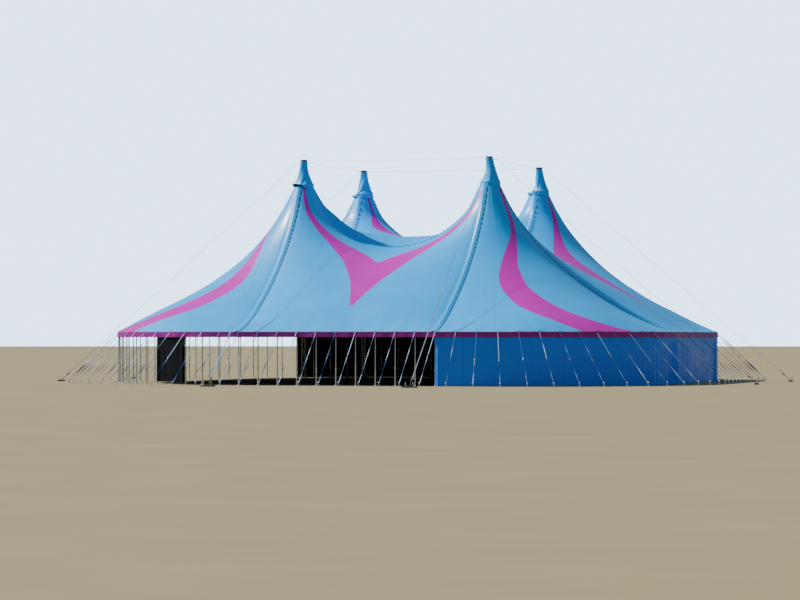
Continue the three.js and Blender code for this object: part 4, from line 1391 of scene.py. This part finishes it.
def mast_head(piece):
    low, high = HEAD_TOP - HEAD_THICK, HEAD_TOP
    radius = HEAD_APOTHEM / math.cos(math.pi / 8)
    eased = radius - 0.003
    for bottom, top in ((low, low + 0.018), (high - 0.020, high)):
        plate = [(eased, bottom), (radius, bottom + 0.003), (radius, top - 0.003), (eased, top)]
        piece.add(spun(turned(plate, 8), math.pi / 8), head_paint)
    piece.add(turned([(0.098, low + 0.016), (0.098, high - 0.018)], 8), head_paint)
    lug = block((0.085, -0.010, CABLE_LEVEL - 0.02), (0.118, 0.010, CABLE_LEVEL + 0.02), 0.004)
    piece.add_four(lug, head_paint)
    for offset in (-0.06, 0.06):
        bolt = turned([(0.009, low - 0.008), (0.009, low + 0.002)], 6, (0.07, offset, 0))
        piece.add_four(bolt, galvanised)


for quarters, corner in enumerate(CORNERS):
    piece = Piece((*quarter_turn(HALF, -HALF, quarters), 0.0))
    lattice(piece)
    mast_foot(piece)
    ring_and_carriage(piece)
    for x in (-0.03, 0.03):
        chain_fall(piece, x, RING_LEVEL, HEAD_TOP - HEAD_THICK)
    mast_head(piece)
    piece.make(f"king_pole_{corner}_steel", "mast_steel", ["king_pole_" + corner])

# %% [markdown]
# ## Hats
# A sleeve of roof cloth closes each peak. It is pulled over the rim of the head and tied below it, drawn in
# by a cord above the ring, and its skirt lies on the roof. The wind has pressed every sleeve its own way,
# so each hat has its own seeded flutes, and numbers for how far it leans, is pressed in, or is lifted on
# the windward side.

# %% Hats
HAT_PROFILE = [(0.262, 15.455), (0.264, 15.41), (0.256, 15.35), (0.268, 15.22), (0.288, 15.03),
               (0.318, 14.85), (0.365, 14.64), (0.430, 14.42), (0.505, 14.21), (0.585, 14.03),
               (0.655, 13.91), (0.700, 13.845), (0.702, 13.815), (0.690, 13.790), (0.695, 13.74),
               (0.712, 13.66), (0.728, 13.585)]
HAT_COLUMNS, HAT_STEPS = 120, 6
HAT_THICK = 0.003
WINDWARD = math.radians(197)
CORD_LEVELS = (13.785 * SCALE, 15.35 * SCALE)
CORD_RADIUS = 0.0045
HATS = {
    "front_right": {"seed": 31, "lean": 0.055, "flutes": 0.6, "twist": 0.4, "wrinkles": 2.0},
    "back_right": {"seed": 32, "lean": 0.030, "press": 0.17, "flap": 0.06, "flutes": 0.8, "twist": 0.3,
                   "wrinkles": 0.3},
    "back_left": {"seed": 33, "press": 0.05, "flap": 0.06, "flutes": 1.2, "twist": 1.7, "wrinkles": 0.4},
    "front_left": {"seed": 34, "brim": 0.155, "flutes": 1.0, "twist": 1.0, "wrinkles": 0.2},
}


def hat_waves(angle, low, twist, seed):
    """Uneven flutes round a hat, which turn with the twist on their way down."""
    pick = np.random.default_rng(seed)
    total = 0.0
    for count in (4, 6, 9, 14, 21):
        phase = 2 * math.pi * pick.random()
        total = total + np.cos(count * (angle + twist * low) + phase) * (4 / (count + 4))
    return total


def hat_grid(centre, seed, flutes, twist, wrinkles, lean=0.0, press=0.0, brim=0.0, flap=0.0):
    """A hat's grid of points, and where each lies on the cloth as cut."""
    line = smooth_line(HAT_PROFILE, HAT_STEPS) * SCALE
    radius, level = line[:, :1], line[:, 1:]
    low = (level[0] - level) / (level[0] - level[-1])
    angle = np.linspace(0, 2 * math.pi, HAT_COLUMNS, endpoint=False)[None]
    aside = np.angle(np.exp(1j * (angle - WINDWARD)))
    skirt = 1 / (1 + np.exp(-(low - 0.9) * 80))
    sleeve = np.clip(low / 0.12, 0, 1) * (1 - skirt)
    depth = flutes * (0.004 + (0.004 + 0.010 * low) * sleeve + 0.003 * skirt)
    grown = radius + hat_waves(angle, low, twist, seed) * depth
    pitch = np.sin(level * 2 * math.pi / 0.075 + 1.5 * np.sin(angle * 3))
    grown = grown + wrinkles * 0.008 * pitch * bell(aside, 0.7, 0.8) * bell(low, 0.66, 0.20)
    above_cord = 1 - np.clip((low - 0.855) / 0.03, 0, 1)
    grown = grown - press * bell(aside, 0, 0.9) * bell(low, 0.80, 0.22) * above_cord
    upturned = bell(aside, 0.6, 1.1, 4)
    ragged = 1 + 0.45 * np.cos(26 * angle + 3 * low) + 0.25 * np.cos(41 * angle)
    blown = flap * bell(aside, 0, 0.5) * ragged
    grown = grown + skirt * (blown + 0.3 * brim * upturned)
    lift = brim * upturned - 0.04 * (1 - upturned) + 0.2 * blown + 0.006 * np.cos(9 * angle)
    height = level + lift * np.clip((low - 0.88) / 0.12, 0, 1)
    sway = lean * np.sin(0.85 * math.pi * low)
    x = centre[0] + grown * np.cos(angle) - sway * math.cos(WINDWARD)
    y = centre[1] + grown * np.sin(angle) - sway * math.sin(WINDWARD)
    height = np.minimum(np.maximum(height, cloth_top(x, y) + 0.012), level[0])
    cut = np.stack(np.broadcast_arrays(radius * angle, level, 0.0), -1)
    return np.stack([x, y, height], -1), cut


for quarters, corner in enumerate(CORNERS):
    outer, cut = hat_grid(quarter_turn(HALF, -HALF, quarters), **HATS[corner])
    made = sheet_piece("hat_" + corner, outer, HAT_THICK, hat_cloth, wall_lining, "hat_cloth", {"cut": cut},
                       wrap=True)
    cord = Piece()
    levels = outer[..., 2].mean(1)
    for height in CORD_LEVELS:
        cord.add(ring_along(outer[np.abs(levels - height).argmin()], CORD_RADIUS, 6), azure_webbing)
    cord_piece = cord.make(f"hat_{corner}_drawcord", "hat_cloth")
